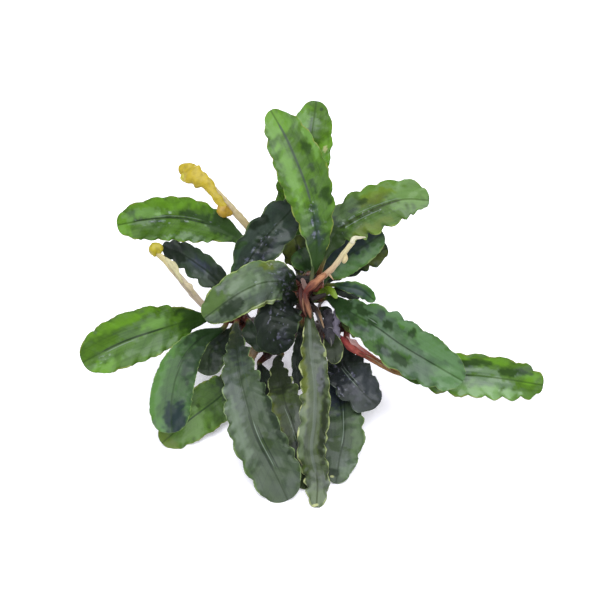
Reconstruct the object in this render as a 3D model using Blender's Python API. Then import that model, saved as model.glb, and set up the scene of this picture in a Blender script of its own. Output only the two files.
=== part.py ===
"""An aquarium plant, bucephalandra: a creeping rhizome, four leafy shoots, ruffled leaves and bare stalks.

Run it with blender --background --python part.py. Lengths are in metres in the scene and in millimetres
below.

The plant is laid out the way it is seen. Each point is (right, up, height): how far it is seen to the right
of the view's anchor and above it, in the plane through the anchor that faces the viewer, and how high it
stands above the surface that the plant lies on.
"""

import math
from dataclasses import dataclass

import bpy
import numpy as np

MM = 0.001

# The view that the plant is laid out in
VIEW_ELEVATION = math.radians(45)
VIEW_DISTANCE = 700.0
VIEW_CENTRE_UP = 12.5
VIEW_ANCHOR = np.array([0.0, -6.0, 0.0])
TOWARDS_VIEWER = np.array([0.0, -math.cos(VIEW_ELEVATION), math.sin(VIEW_ELEVATION)])
VIEW_UP = np.array([0.0, math.sin(VIEW_ELEVATION), math.cos(VIEW_ELEVATION)])
VIEW_RIGHT = np.array([1.0, 0.0, 0.0])
UPWARDS = np.array([0.0, 0.0, 1.0])
BACKWARDS = np.array([0.0, 1.0, 0.0])
EYE = VIEW_ANCHOR + VIEW_CENTRE_UP * VIEW_UP + VIEW_DISTANCE * TOWARDS_VIEWER
CURVE_STEPS = 16

# Leaf blades
BLADE_THICKNESS = 0.8
BLADE_RUN_IN = 0.25
TIP_RUN_OUT = 0.1
SCALLOP = 0.05
SWELL_POWER = 1.2
LAST_CREST = 0.92
LAST_RING = 0.975
ACROSS_STEPS = (-1.0, -0.55, 0.0, 0.55, 1.0)

# Leaf stalks, and how they leave a shoot
STALK_RADIUS = 0.65
STALK_FLARE = 0.2
FLARE_LENGTH = 3.0
STALK_RING_PITCH = 2.4
STALK_LEAST_RINGS = 6
STALK_SIDES = 8
JOINT_GAP = 0.4
HEEL_LENGTH = 0.5
KNEE_LENGTH = 1.2
KNEE_RISE = 0.7

# Stems and roots
SCAR_PITCH = 1.35
SCAR_DEPTH = 0.22
RHIZOME_RADIUS = 2.5
RHIZOME_SIDES = 12
RHIZOME_END_SHARE = 0.08
RHIZOME_BLUNT = 0.15
RHIZOME_LINE = ((-17.0, 6.3, 1.8), (-11.0, 5.8, 1.8), (-5.0, 5.6, 1.8), (1.0, 5.3, 1.8), (5.5, 4.1, 1.8),
                (8.8, 2.1, 1.8))
SHOOT_SIDES = 10
SHOOT_TAPER = ((0.0, 0.6, 0.85, 1.0), (1.0, 1.0, 0.8, 0.4))
ROOT_RADIUS = 0.5
ROOT_TAPER = 0.45
ROOT_SIDES = 6
ROOT_PITCH = 2.0


@dataclass
class Shoot:
    """An upright stem: the points of its axis from foot to top, and its radius."""

    name: str
    axis: tuple
    radius: float


@dataclass
class Leaf:
    """A leaf: where its stalk leaves a shoot, the line of its midrib, and the form of its blade.

    side is the compass side of the shoot in degrees, 0 to the right and 90 to the back, and level is how far
    up the shoot, as a share. stalk is the stalk's length. roll turns the blade about its midrib, in degrees.
    cup lifts the margins, as a share of the half width. lean makes the right half wider. ruffle is how high
    the margin's waves are. peak is where along the blade it is widest, and blunt how square its tip is.
    """

    name: str
    shoot: str
    side: float
    level: float
    midrib: tuple
    width: float
    stalk: float = 5.0
    roll: float = 0.0
    cup: float = 0.15
    lean: float = 0.0
    ruffle: float = 0.5
    waves: int = 7
    peak: float = 0.6
    blunt: float = 2.4
    stalk_radius: float = STALK_RADIUS
    tone: str = "green"


@dataclass
class Stalk:
    """A bare stalk: the line of its axis from the shoot, and its half width and half thickness along it."""

    name: str
    shoot: str
    side: float
    level: float
    line: tuple
    half_widths: tuple
    half_thicknesses: tuple
    tone: str


@dataclass
class Root:
    """A thin root: the points of its axis, as (x, y, z) on the surface, from the rhizome outwards."""

    name: str
    line: tuple


SHOOTS = (
    Shoot("shoot_centre", ((1.2, 8.2, 5.2), (1.2, 11.0, 9.5), (1.5, 14.3, 14.5), (1.8, 16.2, 18.5)), 2.2),
    Shoot("shoot_left", ((-14.5, 7.7, 4.9), (-14.8, 8.6, 6.5), (-15.2, 10.2, 9.5)), 1.9),
    Shoot("shoot_right", ((8.4, 4.7, 5.1), (8.6, 6.2, 7.0), (8.8, 9.0, 10.0)), 1.7),
    Shoot("shoot_front", ((-7.4, 2.4, 2.6), (-7.8, 0.4, 3.2), (-8.2, -1.8, 4.0)), 1.5),
)

LEAVES = (
    Leaf("leaf_back_tall", "shoot_centre", 85, 0.92, width=12.2, stalk=7.5, peak=0.6, cup=0.2, waves=9,
         midrib=((3.6, 20, 24), (4.2, 27, 31), (3.1, 35, 37.5), (1.0, 42.5, 42.5), (-3.2, 52.5, 49),
                 (-7.4, 60, 53)), lean=0.05, blunt=2.0, tone="bright"),
    Leaf("leaf_back_second", "shoot_centre", 110, 0.35, width=11.4, stalk=8, peak=0.6,
         midrib=((-0.4, 19, 11.5), (-1.2, 25, 16.5), (-1.8, 30, 21.5), (-0.4, 40, 31), (2.4, 51, 40),
                 (4.1, 62.3, 47.3)),
         tone="bright"),
    Leaf("leaf_back_left", "shoot_left", 62, 0.85, width=10.4, stalk=7, peak=0.55, roll=-8,
         midrib=((-14.6, 15, 17), (-13.4, 21, 22.5), (-10.3, 26, 26.5), (-5.8, 31.2, 30), (0.2, 37.5, 32.5)),
         tone="dark"),
    Leaf("leaf_left_upper", "shoot_centre", 165, 0.74, width=11, stalk=17.5, peak=0.5, roll=8, blunt=2.6,
         midrib=((-7.5, 22, 20.5), (-14, 27, 23), (-20.5, 30.6, 25), (-30, 32.9, 27), (-38, 32.6, 28),
                 (-45.8, 31.2, 28)), tone="bright"),
    Leaf("leaf_right_upper", "shoot_centre", 38, 0.88, width=11.4, stalk=8, peak=0.5, roll=5,
         midrib=((5.2, 20.5, 22), (8.2, 28, 27), (11, 31.2, 29.5), (17.5, 34.8, 32.5), (25.5, 37.6, 34.5),
                 (32.4, 37.4, 35)), tone="green"),
    Leaf("leaf_right_cupped", "shoot_centre", 20, 0.66, width=8.6, stalk=2.5, peak=0.4, cup=0.25,
         midrib=((6, 19.5, 19), (11.2, 23.1, 21.5), (15.8, 25.9, 23.5), (20.8, 29.2, 24.5)), ruffle=0.15,
         waves=5, roll=-12, tone="dark"),
    Leaf("leaf_right_under", "shoot_centre", 28, 0.44, width=7.6, stalk=5, waves=5,
         midrib=((6.5, 17, 13.5), (11.2, 21, 15), (16, 23.8, 17), (22, 25.4, 18.5)), tone="dark"),
    Leaf("leaf_right_long", "shoot_centre", -30, 0.66, width=12, stalk=5, peak=0.66, waves=9,
         midrib=((7.5, 12.8, 17), (12.5, 9.5, 19.8), (19, 5.8, 20.8), (25.5, 1.2, 20), (32.5, -3, 17.5),
                 (40.8, -7.8, 14)), tone="green"),
    Leaf("leaf_far_right", "shoot_right", -25, 0.35, width=10.4, stalk=25, peak=0.45, waves=7, blunt=2.6,
         midrib=((11.8, 2.6, 7.6), (15, 0.2, 8), (21, -3.9, 9), (26, -5.9, 9.8), (33, -6.2, 10.5),
                 (43, -6.3, 11), (53, -7.5, 9.5), (60.8, -8.8, 6.5)), stalk_radius=0.8, tone="bright"),
    Leaf("leaf_far_left", "shoot_left", 186, 0.7, width=12.8, lean=0.05, stalk=9, peak=0.6, waves=8,
         midrib=((-20.5, 8.4, 10.5), (-27.5, 7.4, 14), (-35, 5.2, 15.8), (-43.5, 2.3, 15.5),
                 (-49.5, -0.6, 14.5), (-54.4, -3.2, 13.5)), roll=8, blunt=2.6, tone="bright"),
    Leaf("leaf_centre_left", "shoot_centre", 192, 0.93, width=10.8, stalk=1.5, peak=0.45, cup=-0.1, blunt=2.6,
         midrib=((-4, 17, 24.5), (-9, 16.9, 27), (-14, 14.9, 27.5), (-18.5, 12, 26.5), (-24, 7.9, 23)),
         tone="green"),
    Leaf("leaf_centre_low", "shoot_centre", 232, 0.7, width=10.6, stalk=1.5, peak=0.5, waves=6,
         midrib=((-3.2, 12, 17.5), (-5.4, 8, 18), (-6, 3.5, 15), (-4.8, -0.8, 10.5)), tone="dark"),
    Leaf("leaf_dark_behind", "shoot_centre", 262, 0.22, width=3.2, stalk=3, ruffle=0.2, waves=4,
         midrib=((0.2, 4, 5.8), (-0.5, -2.5, 4.2), (-0.3, -10, 1.6)), tone="dark"),
    Leaf("leaf_left_inner", "shoot_left", 305, 0.62, width=5.5, stalk=2, ruffle=0.3, waves=4,
         midrib=((-12, 4.6, 8.8), (-10, 2.4, 8.4), (-7.8, 0.4, 7.4)), tone="olive"),
    Leaf("leaf_left_arched", "shoot_left", 212, 0.42, width=10.4, stalk=8.5, peak=0.75, ruffle=0.15, waves=5,
         midrib=((-19.5, 5.2, 9.5), (-24.5, 3, 12), (-28.5, -1.2, 12.5), (-31, -7, 11.2), (-32.2, -13.5, 9),
                 (-32, -20.7, 6.5)), roll=-10, tone="dark", blunt=2.8),
    Leaf("leaf_left_floor", "shoot_left", 282, 0.1, width=11.2, stalk=12, peak=0.55, ruffle=0.35, waves=6,
         midrib=((-15, 0, 3), (-16, -6, 3), (-19.5, -11.2, 4.2), (-27, -17, 3.8), (-34.6, -23.3, 0.9)),
         tone="bright"),
    Leaf("leaf_left_drooping", "shoot_left", 240, 0.2, width=8.8, stalk=3, ruffle=0.4, waves=4,
         midrib=((-18.8, 2.9, 6.8), (-22.3, -0.2, 7.6), (-23, -6.4, 5.2)), tone="grey"),
    Leaf("leaf_front_left", "shoot_left", 258, 0.78, width=12.6, stalk=4, peak=0.82, waves=9, blunt=2.4,
         midrib=((-16, 3, 12), (-15.2, -5, 13.5), (-13.2, -13.5, 12.3), (-10.8, -21.5, 9), (-6.9, -29.4, 4.2),
                 (-3.0, -37.6, 0.3)), tone="grey"),
    Leaf("leaf_front_middle", "shoot_front", 325, 0.6, width=9.2, stalk=3, peak=0.6, waves=7,
         midrib=((-5.6, -3.6, 4.6), (-4.0, -12, 5.6), (-2, -17.8, 4.6), (0, -25, 2.2), (1.6, -34.8, 0.4)),
         tone="olive"),
    Leaf("leaf_front_hidden", "shoot_front", 255, 0.85, width=6, stalk=3, ruffle=0.2, waves=4,
         midrib=((-9.4, -6.2, 3.2), (-9.2, -11, 2.6), (-7.8, -18, 1.6)), tone="dark"),
    Leaf("leaf_front_long", "shoot_centre", 266, 0.86, width=7, stalk=7.5, peak=0.5, cup=-0.3, waves=10,
         stalk_radius=0.8, blunt=3.0,
         midrib=((2.2, 9, 18), (2.8, 0, 17), (3.8, -9, 14.5), (3.7, -17, 11.5), (2.9, -25, 8),
                 (4.3, -32.5, 3.4), (4.1, -39.4, 0.3)), tone="olive"),
    Leaf("leaf_front_right_dark", "shoot_right", 280, 0.12, width=10.2, stalk=2.5, peak=0.6, waves=6,
         midrib=((10.4, -1.4, 6.6), (12.2, -5.5, 8.2), (15, -9.8, 8.2), (19.4, -14, 6.2)), tone="grey"),
    Leaf("leaf_front_right", "shoot_right", 234, 0.05, width=10.1, stalk=7, peak=0.55, waves=6,
         midrib=((8.6, -5, 3.4), (10.2, -14, 4), (10.8, -21.7, 3.6), (9.8, -27.5, 1.7), (9, -33.4, 0.4)),
         tone="grey"),
    Leaf("leaf_small_round", "shoot_centre", 312, 0.42, width=4.6, stalk=10.5, ruffle=0.1, peak=0.6, waves=3,
         midrib=((6.2, 5, 12.5), (8.3, 1, 13.5), (8.7, -3.5, 12.2)), tone="dark"),
    Leaf("leaf_small_centre", "shoot_centre", 0, 0.2, width=3.4, stalk=2, ruffle=0.1, waves=3,
         stalk_radius=0.45, midrib=((6.1, 9.7, 9.3), (6.9, 8.3, 9.2)), tone="dark"),
    Leaf("leaf_small_green", "shoot_right", 10, 0.62, width=2.4, stalk=2, ruffle=0.1, waves=3,
         stalk_radius=0.45, midrib=((13.4, 6, 9), (14.4, 3.4, 8.2)), tone="green"),
    Leaf("leaf_small_dark", "shoot_right", 25, 0.93, width=2.8, stalk=2, ruffle=0.1, waves=3,
         stalk_radius=0.45, midrib=((12.3, 8.3, 11.3), (12.9, 6.3, 10.6)), tone="dark"),
    Leaf("leaf_left_back", "shoot_left", 115, 0.85, width=7, stalk=4.5, peak=0.4, ruffle=0.4, waves=6,
         midrib=((-18.2, 14.5, 14.5), (-20.2, 16.9, 16), (-24, 20.3, 17.5), (-29, 23.7, 17.5),
                 (-34.4, 26, 16.5)), roll=10, tone="dark"),
    Leaf("leaf_inner_olive", "shoot_centre", 118, 0.62, width=8, stalk=4, waves=4,
         midrib=((0.4, 21, 15), (-0.4, 25, 19), (-1.4, 28.6, 21.5)), tone="olive"),
    Leaf("leaf_inner_green", "shoot_centre", 95, 0.78, width=6.6, stalk=2.5, ruffle=0.3, waves=4,
         midrib=((2, 19.6, 18.6), (1.2, 22.4, 21), (-0.4, 25, 22.3)), tone="green"),
    Leaf("leaf_young_curled", "shoot_centre", -10, 0.77, width=3.4, stalk=7, ruffle=0.15, stalk_radius=0.5,
         waves=4, midrib=((7.2, 16.2, 18.8), (11.5, 15.9, 20.6), (15.5, 14.8, 20.3), (18.7, 12.2, 18)),
         tone="green"),
    Leaf("leaf_young_under", "shoot_centre", -6, 0.5, width=3.2, stalk=5, ruffle=0.15, stalk_radius=0.5,
         waves=4, midrib=((7.6, 14.8, 14), (11.5, 14.6, 14.8), (15, 13.2, 13.5)), tone="grey"),
)

STALKS = (
    Stalk("stalk_bare", "shoot_centre", -6, 0.96,
          ((5.3, 17.9, 23), (8, 20.3, 25.6), (10.3, 23.2, 28), (12.2, 25.8, 30), (15.5, 28.4, 31.5)),
          half_widths=(1.0, 1.0, 0.95, 1.0, 1.0, 0.3), half_thicknesses=(0.8, 0.7, 0.6, 0.5, 0.4, 0.2),
          tone="cream"),
    Stalk("leaf_yellow_upper", "shoot_centre", 150, 0.5,
          ((-7, 22, 17), (-12.5, 30.2, 24.5), (-17.3, 35.6, 29), (-22.6, 41.2, 33), (-27, 45, 34.5),
           (-30, 45, 34)),
          half_widths=(0.8, 0.9, 0.95, 1.7, 1.9, 2.7, 1.0),
          half_thicknesses=(0.7, 0.7, 0.6, 0.7, 0.8, 1.1, 0.5), tone="yellow"),
    Stalk("leaf_yellow_lower", "shoot_left", 156, 0.92,
          ((-20.6, 10.4, 12.6), (-24.4, 11.5, 15.4), (-30.5, 18.6, 21.5), (-33.9, 22.5, 24.3),
           (-36.8, 25, 25.6)),
          half_widths=(0.7, 0.75, 0.9, 1.05, 1.0, 1.5), half_thicknesses=(0.6, 0.6, 0.5, 0.5, 0.6, 0.8),
          tone="yellow"),
    Stalk("sheath_green", "shoot_centre", -60, 0.8,
          ((5.4, 14.3, 17.4), (7.6, 14.8, 19.8), (9.3, 12.9, 20)),
          half_widths=(0.5, 0.6, 1.0, 0.4), half_thicknesses=(0.4, 0.4, 0.4, 0.2), tone="lime"),
    Stalk("sheath_right", "shoot_centre", 292, 0.66,
          ((4.6, 9.6, 14.6), (5.3, 7.6, 15), (6, 5.4, 14.8)),
          half_widths=(0.5, 0.6, 0.7, 0.3), half_thicknesses=(0.4, 0.3, 0.3, 0.2), tone="tan"),
    Stalk("sheath_front", "shoot_front", 200, 0.45,
          ((-12.2, -1.8, 4.4), (-12.6, -3.2, 4.8)),
          half_widths=(0.9, 1.2, 0.9), half_thicknesses=(0.7, 0.8, 0.6), tone="tan"),
)

ROOTS = (
    Root("root_back_left", ((-9.0, 3.2, 1.6), (-10.5, 6.5, 0.8), (-9.5, 11.0, 0.6), (-12.0, 15.0, 0.6))),
    Root("root_back", ((-3.0, 3.0, 1.6), (-2.0, 6.5, 0.8), (-4.0, 11.5, 0.6), (-2.5, 16.0, 0.6))),
    Root("root_back_right", ((4.2, 2.0, 1.6), (5.5, 5.0, 0.8), (5.0, 9.5, 0.6), (8.0, 13.0, 0.6))),
)

TONES = {
    "bright": (0.045, 0.16, 0.03),
    "green": (0.03, 0.105, 0.035),
    "dark": (0.015, 0.045, 0.02),
    "olive": (0.06, 0.10, 0.02),
    "grey": (0.04, 0.07, 0.045),
    "cream": (0.62, 0.45, 0.24),
    "yellow": (0.62, 0.42, 0.03),
    "lime": (0.22, 0.33, 0.02),
    "tan": (0.45, 0.28, 0.14),
    "stem": (0.10, 0.07, 0.06),
    "root": (0.12, 0.07, 0.04),
}
LEAF_ROUGHNESS = 0.3
STALK_ROUGHNESS = 0.5
STEM_ROUGHNESS = 0.65
SHARP_ANGLE = math.radians(60)


def seen_at(right, up, height):
    """The point at this height that is seen at (right, up), in millimetres."""
    through = VIEW_ANCHOR + right * VIEW_RIGHT + up * VIEW_UP
    share = (height - EYE[2]) / (through[2] - EYE[2])
    return EYE + share * (through - EYE)


def unit(vector):
    return vector / np.linalg.norm(vector)


def smooth_line(points):
    """A Catmull-Rom curve through the points."""
    points = np.asarray(points, float)
    padded = np.vstack([2 * points[0] - points[1], points, 2 * points[-1] - points[-2]])
    line = []
    for a, b, c, d in zip(padded, padded[1:], padded[2:], padded[3:]):
        slope = (c - a) / 2
        bend = a - 2.5 * b + 2 * c - d / 2
        turn = (d - a) / 2 + 1.5 * (b - c)
        for t in np.arange(CURVE_STEPS) / CURVE_STEPS:
            line.append(b + t * (slope + t * (bend + t * turn)))
    line.append(points[-1])
    return np.array(line)


def runs_along(line):
    """How far along the line each of its points is."""
    return np.concatenate([[0.0], np.cumsum(np.linalg.norm(np.diff(line, axis=0), axis=1))])


def at_runs(line, wanted):
    """The points and the unit tangents of a line at the wanted distances along it."""
    runs = runs_along(line)
    points = np.column_stack([np.interp(wanted, runs, line[:, k]) for k in range(3)])
    slope = np.gradient(line, runs, axis=0)
    tangents = np.column_stack([np.interp(wanted, runs, slope[:, k]) for k in range(3)])
    return points, tangents / np.linalg.norm(tangents, axis=1)[:, None]


def shoot_axis(shoot):
    return smooth_line([seen_at(*point) for point in shoot.axis])


def shoot_radius(shoot, share):
    """A shoot's radius at a share of its length: it narrows to its growing point."""
    return shoot.radius * np.interp(share, *SHOOT_TAPER)


def line_from_shoot(piece, seen_points):
    """The line of a piece: it leaves its shoot sideways, turns up, and goes through the seen points."""
    shoot = next(s for s in SHOOTS if s.name == piece.shoot)
    axis = shoot_axis(shoot)
    centres, tangents = at_runs(axis, [piece.level * runs_along(axis)[-1]])
    side = math.radians(piece.side)
    sideways = np.array([math.cos(side), math.sin(side), 0.0])
    out = unit(sideways - np.dot(sideways, tangents[0]) * tangents[0])
    foot = centres[0] + (shoot_radius(shoot, piece.level) + JOINT_GAP) * out
    heel = foot + HEEL_LENGTH * out
    knee = heel + KNEE_LENGTH * unit(out + KNEE_RISE * tangents[0])
    return smooth_line([foot, heel, knee] + [seen_at(*point) for point in seen_points])


def half_width(leaf, share):
    """The blade's half width at a share of its length: it swells from the stalk to a round tip."""
    start = leaf.stalk_radius / (leaf.width / 2)
    swell = start + (1 - start) * math.sin(min(share / leaf.peak, 1) * math.pi / 2) ** SWELL_POWER
    past = max(0.0, share - leaf.peak) / (1 - leaf.peak)
    return leaf.width / 2 * swell * max(0.0, 1 - past**leaf.blunt) ** (1 / leaf.blunt)


def leaf_frame(leaf, tangent):
    """The directions across the blade and out of its face."""
    roll = math.radians(leaf.roll)
    level_across = unit(np.cross(tangent, TOWARDS_VIEWER))
    level_face = np.cross(level_across, tangent)
    across = level_across * math.cos(roll) + level_face * math.sin(roll)
    return across, np.cross(across, tangent)


def leaf_ring(leaf, point, tangent, run, blade, crest):
    """One ring of points around a leaf's stalk or blade. crest is 1 or -1, the margin's wave there."""
    share = max(0.0, run - leaf.stalk) / blade
    across, face = leaf_frame(leaf, tangent)
    blade_in = min(1.0, share / BLADE_RUN_IN)
    wave = crest * blade_in * min(1.0, (1 - share) / TIP_RUN_OUT)
    flare = 1 + STALK_FLARE * max(0.0, 1 - run / FLARE_LENGTH)
    half = half_width(leaf, share) * flare * (1 + SCALLOP * wave)
    thick = (leaf.stalk_radius + (BLADE_THICKNESS / 2 - leaf.stalk_radius) * blade_in) * flare
    ring = []
    for facing, steps in ((1, ACROSS_STEPS), (-1, ACROSS_STEPS[-2:0:-1])):
        for step in steps:
            lift = leaf.cup * half * step**2 * blade_in + leaf.ruffle * wave * abs(step) ** 3
            reach = step * half * (1 + leaf.lean * blade_in * math.copysign(1, step))
            ring.append(point + across * reach + face * (lift + facing * thick * math.sqrt(1 - step**2)))
    return ring


def leaf_rings(leaf):
    """The rings of points around a leaf from stalk to tip, a ring to each crest and hollow, and its tip."""
    line = line_from_shoot(leaf, leaf.midrib)
    blade = runs_along(line)[-1] - leaf.stalk
    stalk_runs = np.linspace(0, leaf.stalk, max(2, round(leaf.stalk / STALK_RING_PITCH) + 1))[:-1]
    shares = np.append(np.linspace(0, LAST_CREST, 2 * leaf.waves), LAST_RING)
    runs = np.concatenate([stalk_runs, leaf.stalk + shares * blade])
    points, tangents = at_runs(line, runs)
    rings = []
    for index, (point, tangent, run) in enumerate(zip(points, tangents, runs)):
        rings.append(leaf_ring(leaf, point, tangent, run, blade, (-1) ** index))
    return rings, line[-1]


def round_ring(centre, tangent, wide, thick, sides, facing):
    """A ring of points around a stem, in the plane across it, wide across the way it faces."""
    across = unit(np.cross(tangent, facing))
    over = np.cross(across, tangent)
    angles = 2 * math.pi * np.arange(sides) / sides
    return [centre + across * wide * math.cos(angle) - over * thick * math.sin(angle) for angle in angles]


def stem_rings(line, radius_at, sides, pitch, facing=UPWARDS):
    """Rings along a line, a pitch apart. radius_at gives the radius for a ring's index and its share."""
    total = runs_along(line)[-1]
    runs = np.linspace(0, total, round(total / pitch) + 1)
    rings = []
    for index, (point, tangent, run) in enumerate(zip(*at_runs(line, runs), runs)):
        radius = radius_at(index, run / total)
        rings.append(round_ring(point, tangent, radius, radius, sides, facing))
    return rings


def rhizome_rings():
    """The creeping stem: ringed with leaf scars, rounded at its ends and flat underneath."""
    line = smooth_line([seen_at(*point) for point in RHIZOME_LINE])

    def radius_at(index, share):
        inwards = min(1.0, RHIZOME_BLUNT + min(share, 1 - share) / RHIZOME_END_SHARE)
        return (RHIZOME_RADIUS - SCAR_DEPTH * (index % 2)) * math.sqrt(1 - (1 - inwards) ** 2)

    rings = stem_rings(line, radius_at, RHIZOME_SIDES, SCAR_PITCH)
    for ring in rings:
        for point in ring:
            point[2] = max(0.0, point[2])
    return rings


def shoot_rings(shoot):
    """An upright stem, ringed with leaf scars."""

    def radius_at(index, share):
        return shoot_radius(shoot, share) - SCAR_DEPTH * (index % 2)

    return stem_rings(shoot_axis(shoot), radius_at, SHOOT_SIDES, SCAR_PITCH, facing=BACKWARDS)


def root_rings(root):
    """A thin root, finer towards its end."""

    def radius_at(_, share):
        return ROOT_RADIUS * (1 - ROOT_TAPER * share)

    return stem_rings(smooth_line(root.line), radius_at, ROOT_SIDES, ROOT_PITCH)


def stalk_rings(stalk):
    """A bare stalk or sheath: a flattened strip that faces the viewer."""
    line = line_from_shoot(stalk, stalk.line)
    total = runs_along(line)[-1]
    shares = np.linspace(0, 1, max(STALK_LEAST_RINGS, round(total / STALK_RING_PITCH)) + 1)
    stations = np.linspace(0, 1, len(stalk.half_widths))
    rings = []
    for point, tangent, share in zip(*at_runs(line, shares * total), shares):
        wide = np.interp(share, stations, stalk.half_widths)
        thick = np.interp(share, stations, stalk.half_thicknesses)
        rings.append(round_ring(point, tangent, wide, thick, STALK_SIDES, TOWARDS_VIEWER))
    return rings


def skin(rings, tip=None):
    """Points and faces of a skin over the rings: flat at the first, flat or pointed at the last.

    The triangles of the two sides of a blade lie alike, so that the sides never cross where it is ruffled.
    """
    count = len(rings[0])
    points = [point for ring in rings for point in ring]
    last = len(points) - count
    faces = [tuple(reversed(range(count)))]
    for start in range(0, last, count):
        for k in range(count):
            a, b = start + k, start + (k + 1) % count
            c, d = b + count, a + count
            faces += [(a, b, c), (a, c, d)] if k < count // 2 else [(a, b, d), (b, c, d)]
    if tip is None:
        faces.append(tuple(last + k for k in range(count)))
    else:
        faces += [(last + k, last + (k + 1) % count, len(points)) for k in range(count)]
        points.append(tip)
    return points, faces


def add_material(name, tone, roughness):
    material = bpy.data.materials.new(name)
    material.use_nodes = True
    shader = material.node_tree.nodes["Principled BSDF"]
    shader.inputs["Base Color"].default_value = (*TONES[tone], 1)
    shader.inputs["Roughness"].default_value = roughness
    shader.inputs["Metallic"].default_value = 0
    return material


def add_piece(plant, name, tone, roughness, points, faces):
    """An object with its origin at the middle of its first ring, where it grows from."""
    first_ring = [points[k] for k in faces[0]]
    origin = np.mean(first_ring, axis=0)
    mesh = bpy.data.meshes.new(name)
    mesh.from_pydata([tuple((point - origin) * MM) for point in points], [], faces)
    mesh.update()
    mesh.shade_smooth()
    mesh.set_sharp_from_angle(angle=SHARP_ANGLE)
    mesh.materials.append(add_material(name, tone, roughness))
    piece = bpy.data.objects.new(name, mesh)
    bpy.context.scene.collection.objects.link(piece)
    piece.location = origin * MM
    piece.parent = plant


def add_plant():
    """The empty that every piece is parented to, at the rhizome's foot."""
    plant = bpy.data.objects.new("bucephalandra", None)
    bpy.context.scene.collection.objects.link(plant)
    return plant


def clear_scene():
    for old in list(bpy.data.objects):
        bpy.data.objects.remove(old)


def main():
    clear_scene()
    plant = add_plant()
    for leaf in LEAVES:
        add_piece(plant, leaf.name, leaf.tone, LEAF_ROUGHNESS, *skin(*leaf_rings(leaf)))
    for stalk in STALKS:
        add_piece(plant, stalk.name, stalk.tone, STALK_ROUGHNESS, *skin(stalk_rings(stalk)))
    add_piece(plant, "rhizome", "stem", STEM_ROUGHNESS, *skin(rhizome_rings()))
    for shoot in SHOOTS:
        add_piece(plant, shoot.name, "stem", STEM_ROUGHNESS, *skin(shoot_rings(shoot)))
    for root in ROOTS:
        add_piece(plant, root.name, "root", STEM_ROUGHNESS, *skin(root_rings(root)))


main()
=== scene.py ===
"""A bare-root bucephalandra on a white table: fine leaves, stalks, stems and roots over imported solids."""

import math
from dataclasses import dataclass

import bpy
import numpy as np
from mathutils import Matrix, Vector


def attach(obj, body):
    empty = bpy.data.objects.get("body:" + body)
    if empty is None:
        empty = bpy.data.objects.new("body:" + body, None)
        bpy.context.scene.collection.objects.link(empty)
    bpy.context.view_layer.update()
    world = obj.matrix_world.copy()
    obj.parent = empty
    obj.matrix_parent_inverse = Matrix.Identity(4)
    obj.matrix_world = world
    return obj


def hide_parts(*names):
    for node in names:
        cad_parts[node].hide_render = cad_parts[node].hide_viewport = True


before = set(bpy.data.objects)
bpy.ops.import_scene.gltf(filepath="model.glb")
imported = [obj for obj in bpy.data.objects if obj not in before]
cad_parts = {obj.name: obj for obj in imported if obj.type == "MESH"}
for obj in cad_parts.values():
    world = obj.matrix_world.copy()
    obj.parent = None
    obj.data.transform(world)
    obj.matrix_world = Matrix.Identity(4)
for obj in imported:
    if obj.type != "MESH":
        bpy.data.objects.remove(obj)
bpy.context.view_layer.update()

MM = 0.001
BODY = "root"

# The view that the plant is laid out in, as in the part's source, in millimetres, and the floor, in metres
VIEW_ELEVATION = math.radians(45)
VIEW_DISTANCE = 700.0
VIEW_CENTRE_UP = 12.5
VIEW_ANCHOR = np.array([0.0, -6.0, 0.0])
TOWARDS_VIEWER = np.array([0.0, -math.cos(VIEW_ELEVATION), math.sin(VIEW_ELEVATION)])
VIEW_UP = np.array([0.0, math.sin(VIEW_ELEVATION), math.cos(VIEW_ELEVATION)])
VIEW_RIGHT = np.array([1.0, 0.0, 0.0])
VIEW_TARGET = VIEW_ANCHOR + VIEW_CENTRE_UP * VIEW_UP
EYE = VIEW_TARGET + VIEW_DISTANCE * TOWARDS_VIEWER
VIEW_WIDTH = 150.0
SENSOR_WIDTH = 36.0
FLOOR_HALF = 1.5
AWAY_FROM_VIEWER = np.array([0.0, 1.0, 0.0])
UPWARDS = np.array([0.0, 0.0, 1.0])
CURVE_STEPS = 16

# Leaf sizes, in millimetres, shared with the part's source
BLADE_RUN_IN = 0.25
SWELL_POWER = 1.2
STALK_RADIUS = 0.65
JOINT_GAP = 0.4
HEEL_LENGTH = 0.5
KNEE_LENGTH = 1.2
KNEE_RISE = 0.7
SHOOT_TAPER = ((0.0, 0.6, 0.85, 1.0), (1.0, 1.0, 0.8, 0.4))

# Rows of points along a fine leaf, closer together towards its tip
ROW_PITCH = 0.36
COLUMNS = 31
TIP_ROWS = 1.15
TIP_CROWDING = 1.25
TIP_SHARE = 0.9985
BURIED = 1.6

# Margin of a fine leaf: the lengths and sizes of its scallops, and the fray between them
LOBE_PITCHES = (2.2, 4.6)
LOBE_SIZES = (0.3, 1.2)
LOBE_DEPTH = 0.8
LOBE_LEVEL = 0.6
LOBE_START = 12.0
SPARE_LOBES = 12
FRAY = 0.05
FRAY_LENGTHS = (0.9, 2.0)
MARGINS_APART = 9.0
RUFFLE_SHARE = 1.2
RUFFLE_REACH = 4.0
RUFFLE_END = 0.08

# Face of a fine leaf: its veins, relief and thickness
VEIN_SLOPE = 0.8
VEIN_BEND = 0.03
VEIN_PITCH = 2.6
PUCKER = 0.03
CRINKLE = 0.1
CRINKLE_LENGTHS = (2.5, 7.0)
ROUGH_RISE = 0.12
ROUGH_LENGTHS = (1.3, 3.0)
BLADE_HALF_THICKNESS = 0.15
GROOVE_DEPTH = 0.16
GROOVE_WIDTH = 0.35
GROOVE_END = 0.05
KEEL_WIDTH = 0.7
KEEL_START = 1.05
FOOT_LENGTH = 0.5
SHEATH_LENGTH = 1.6

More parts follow.
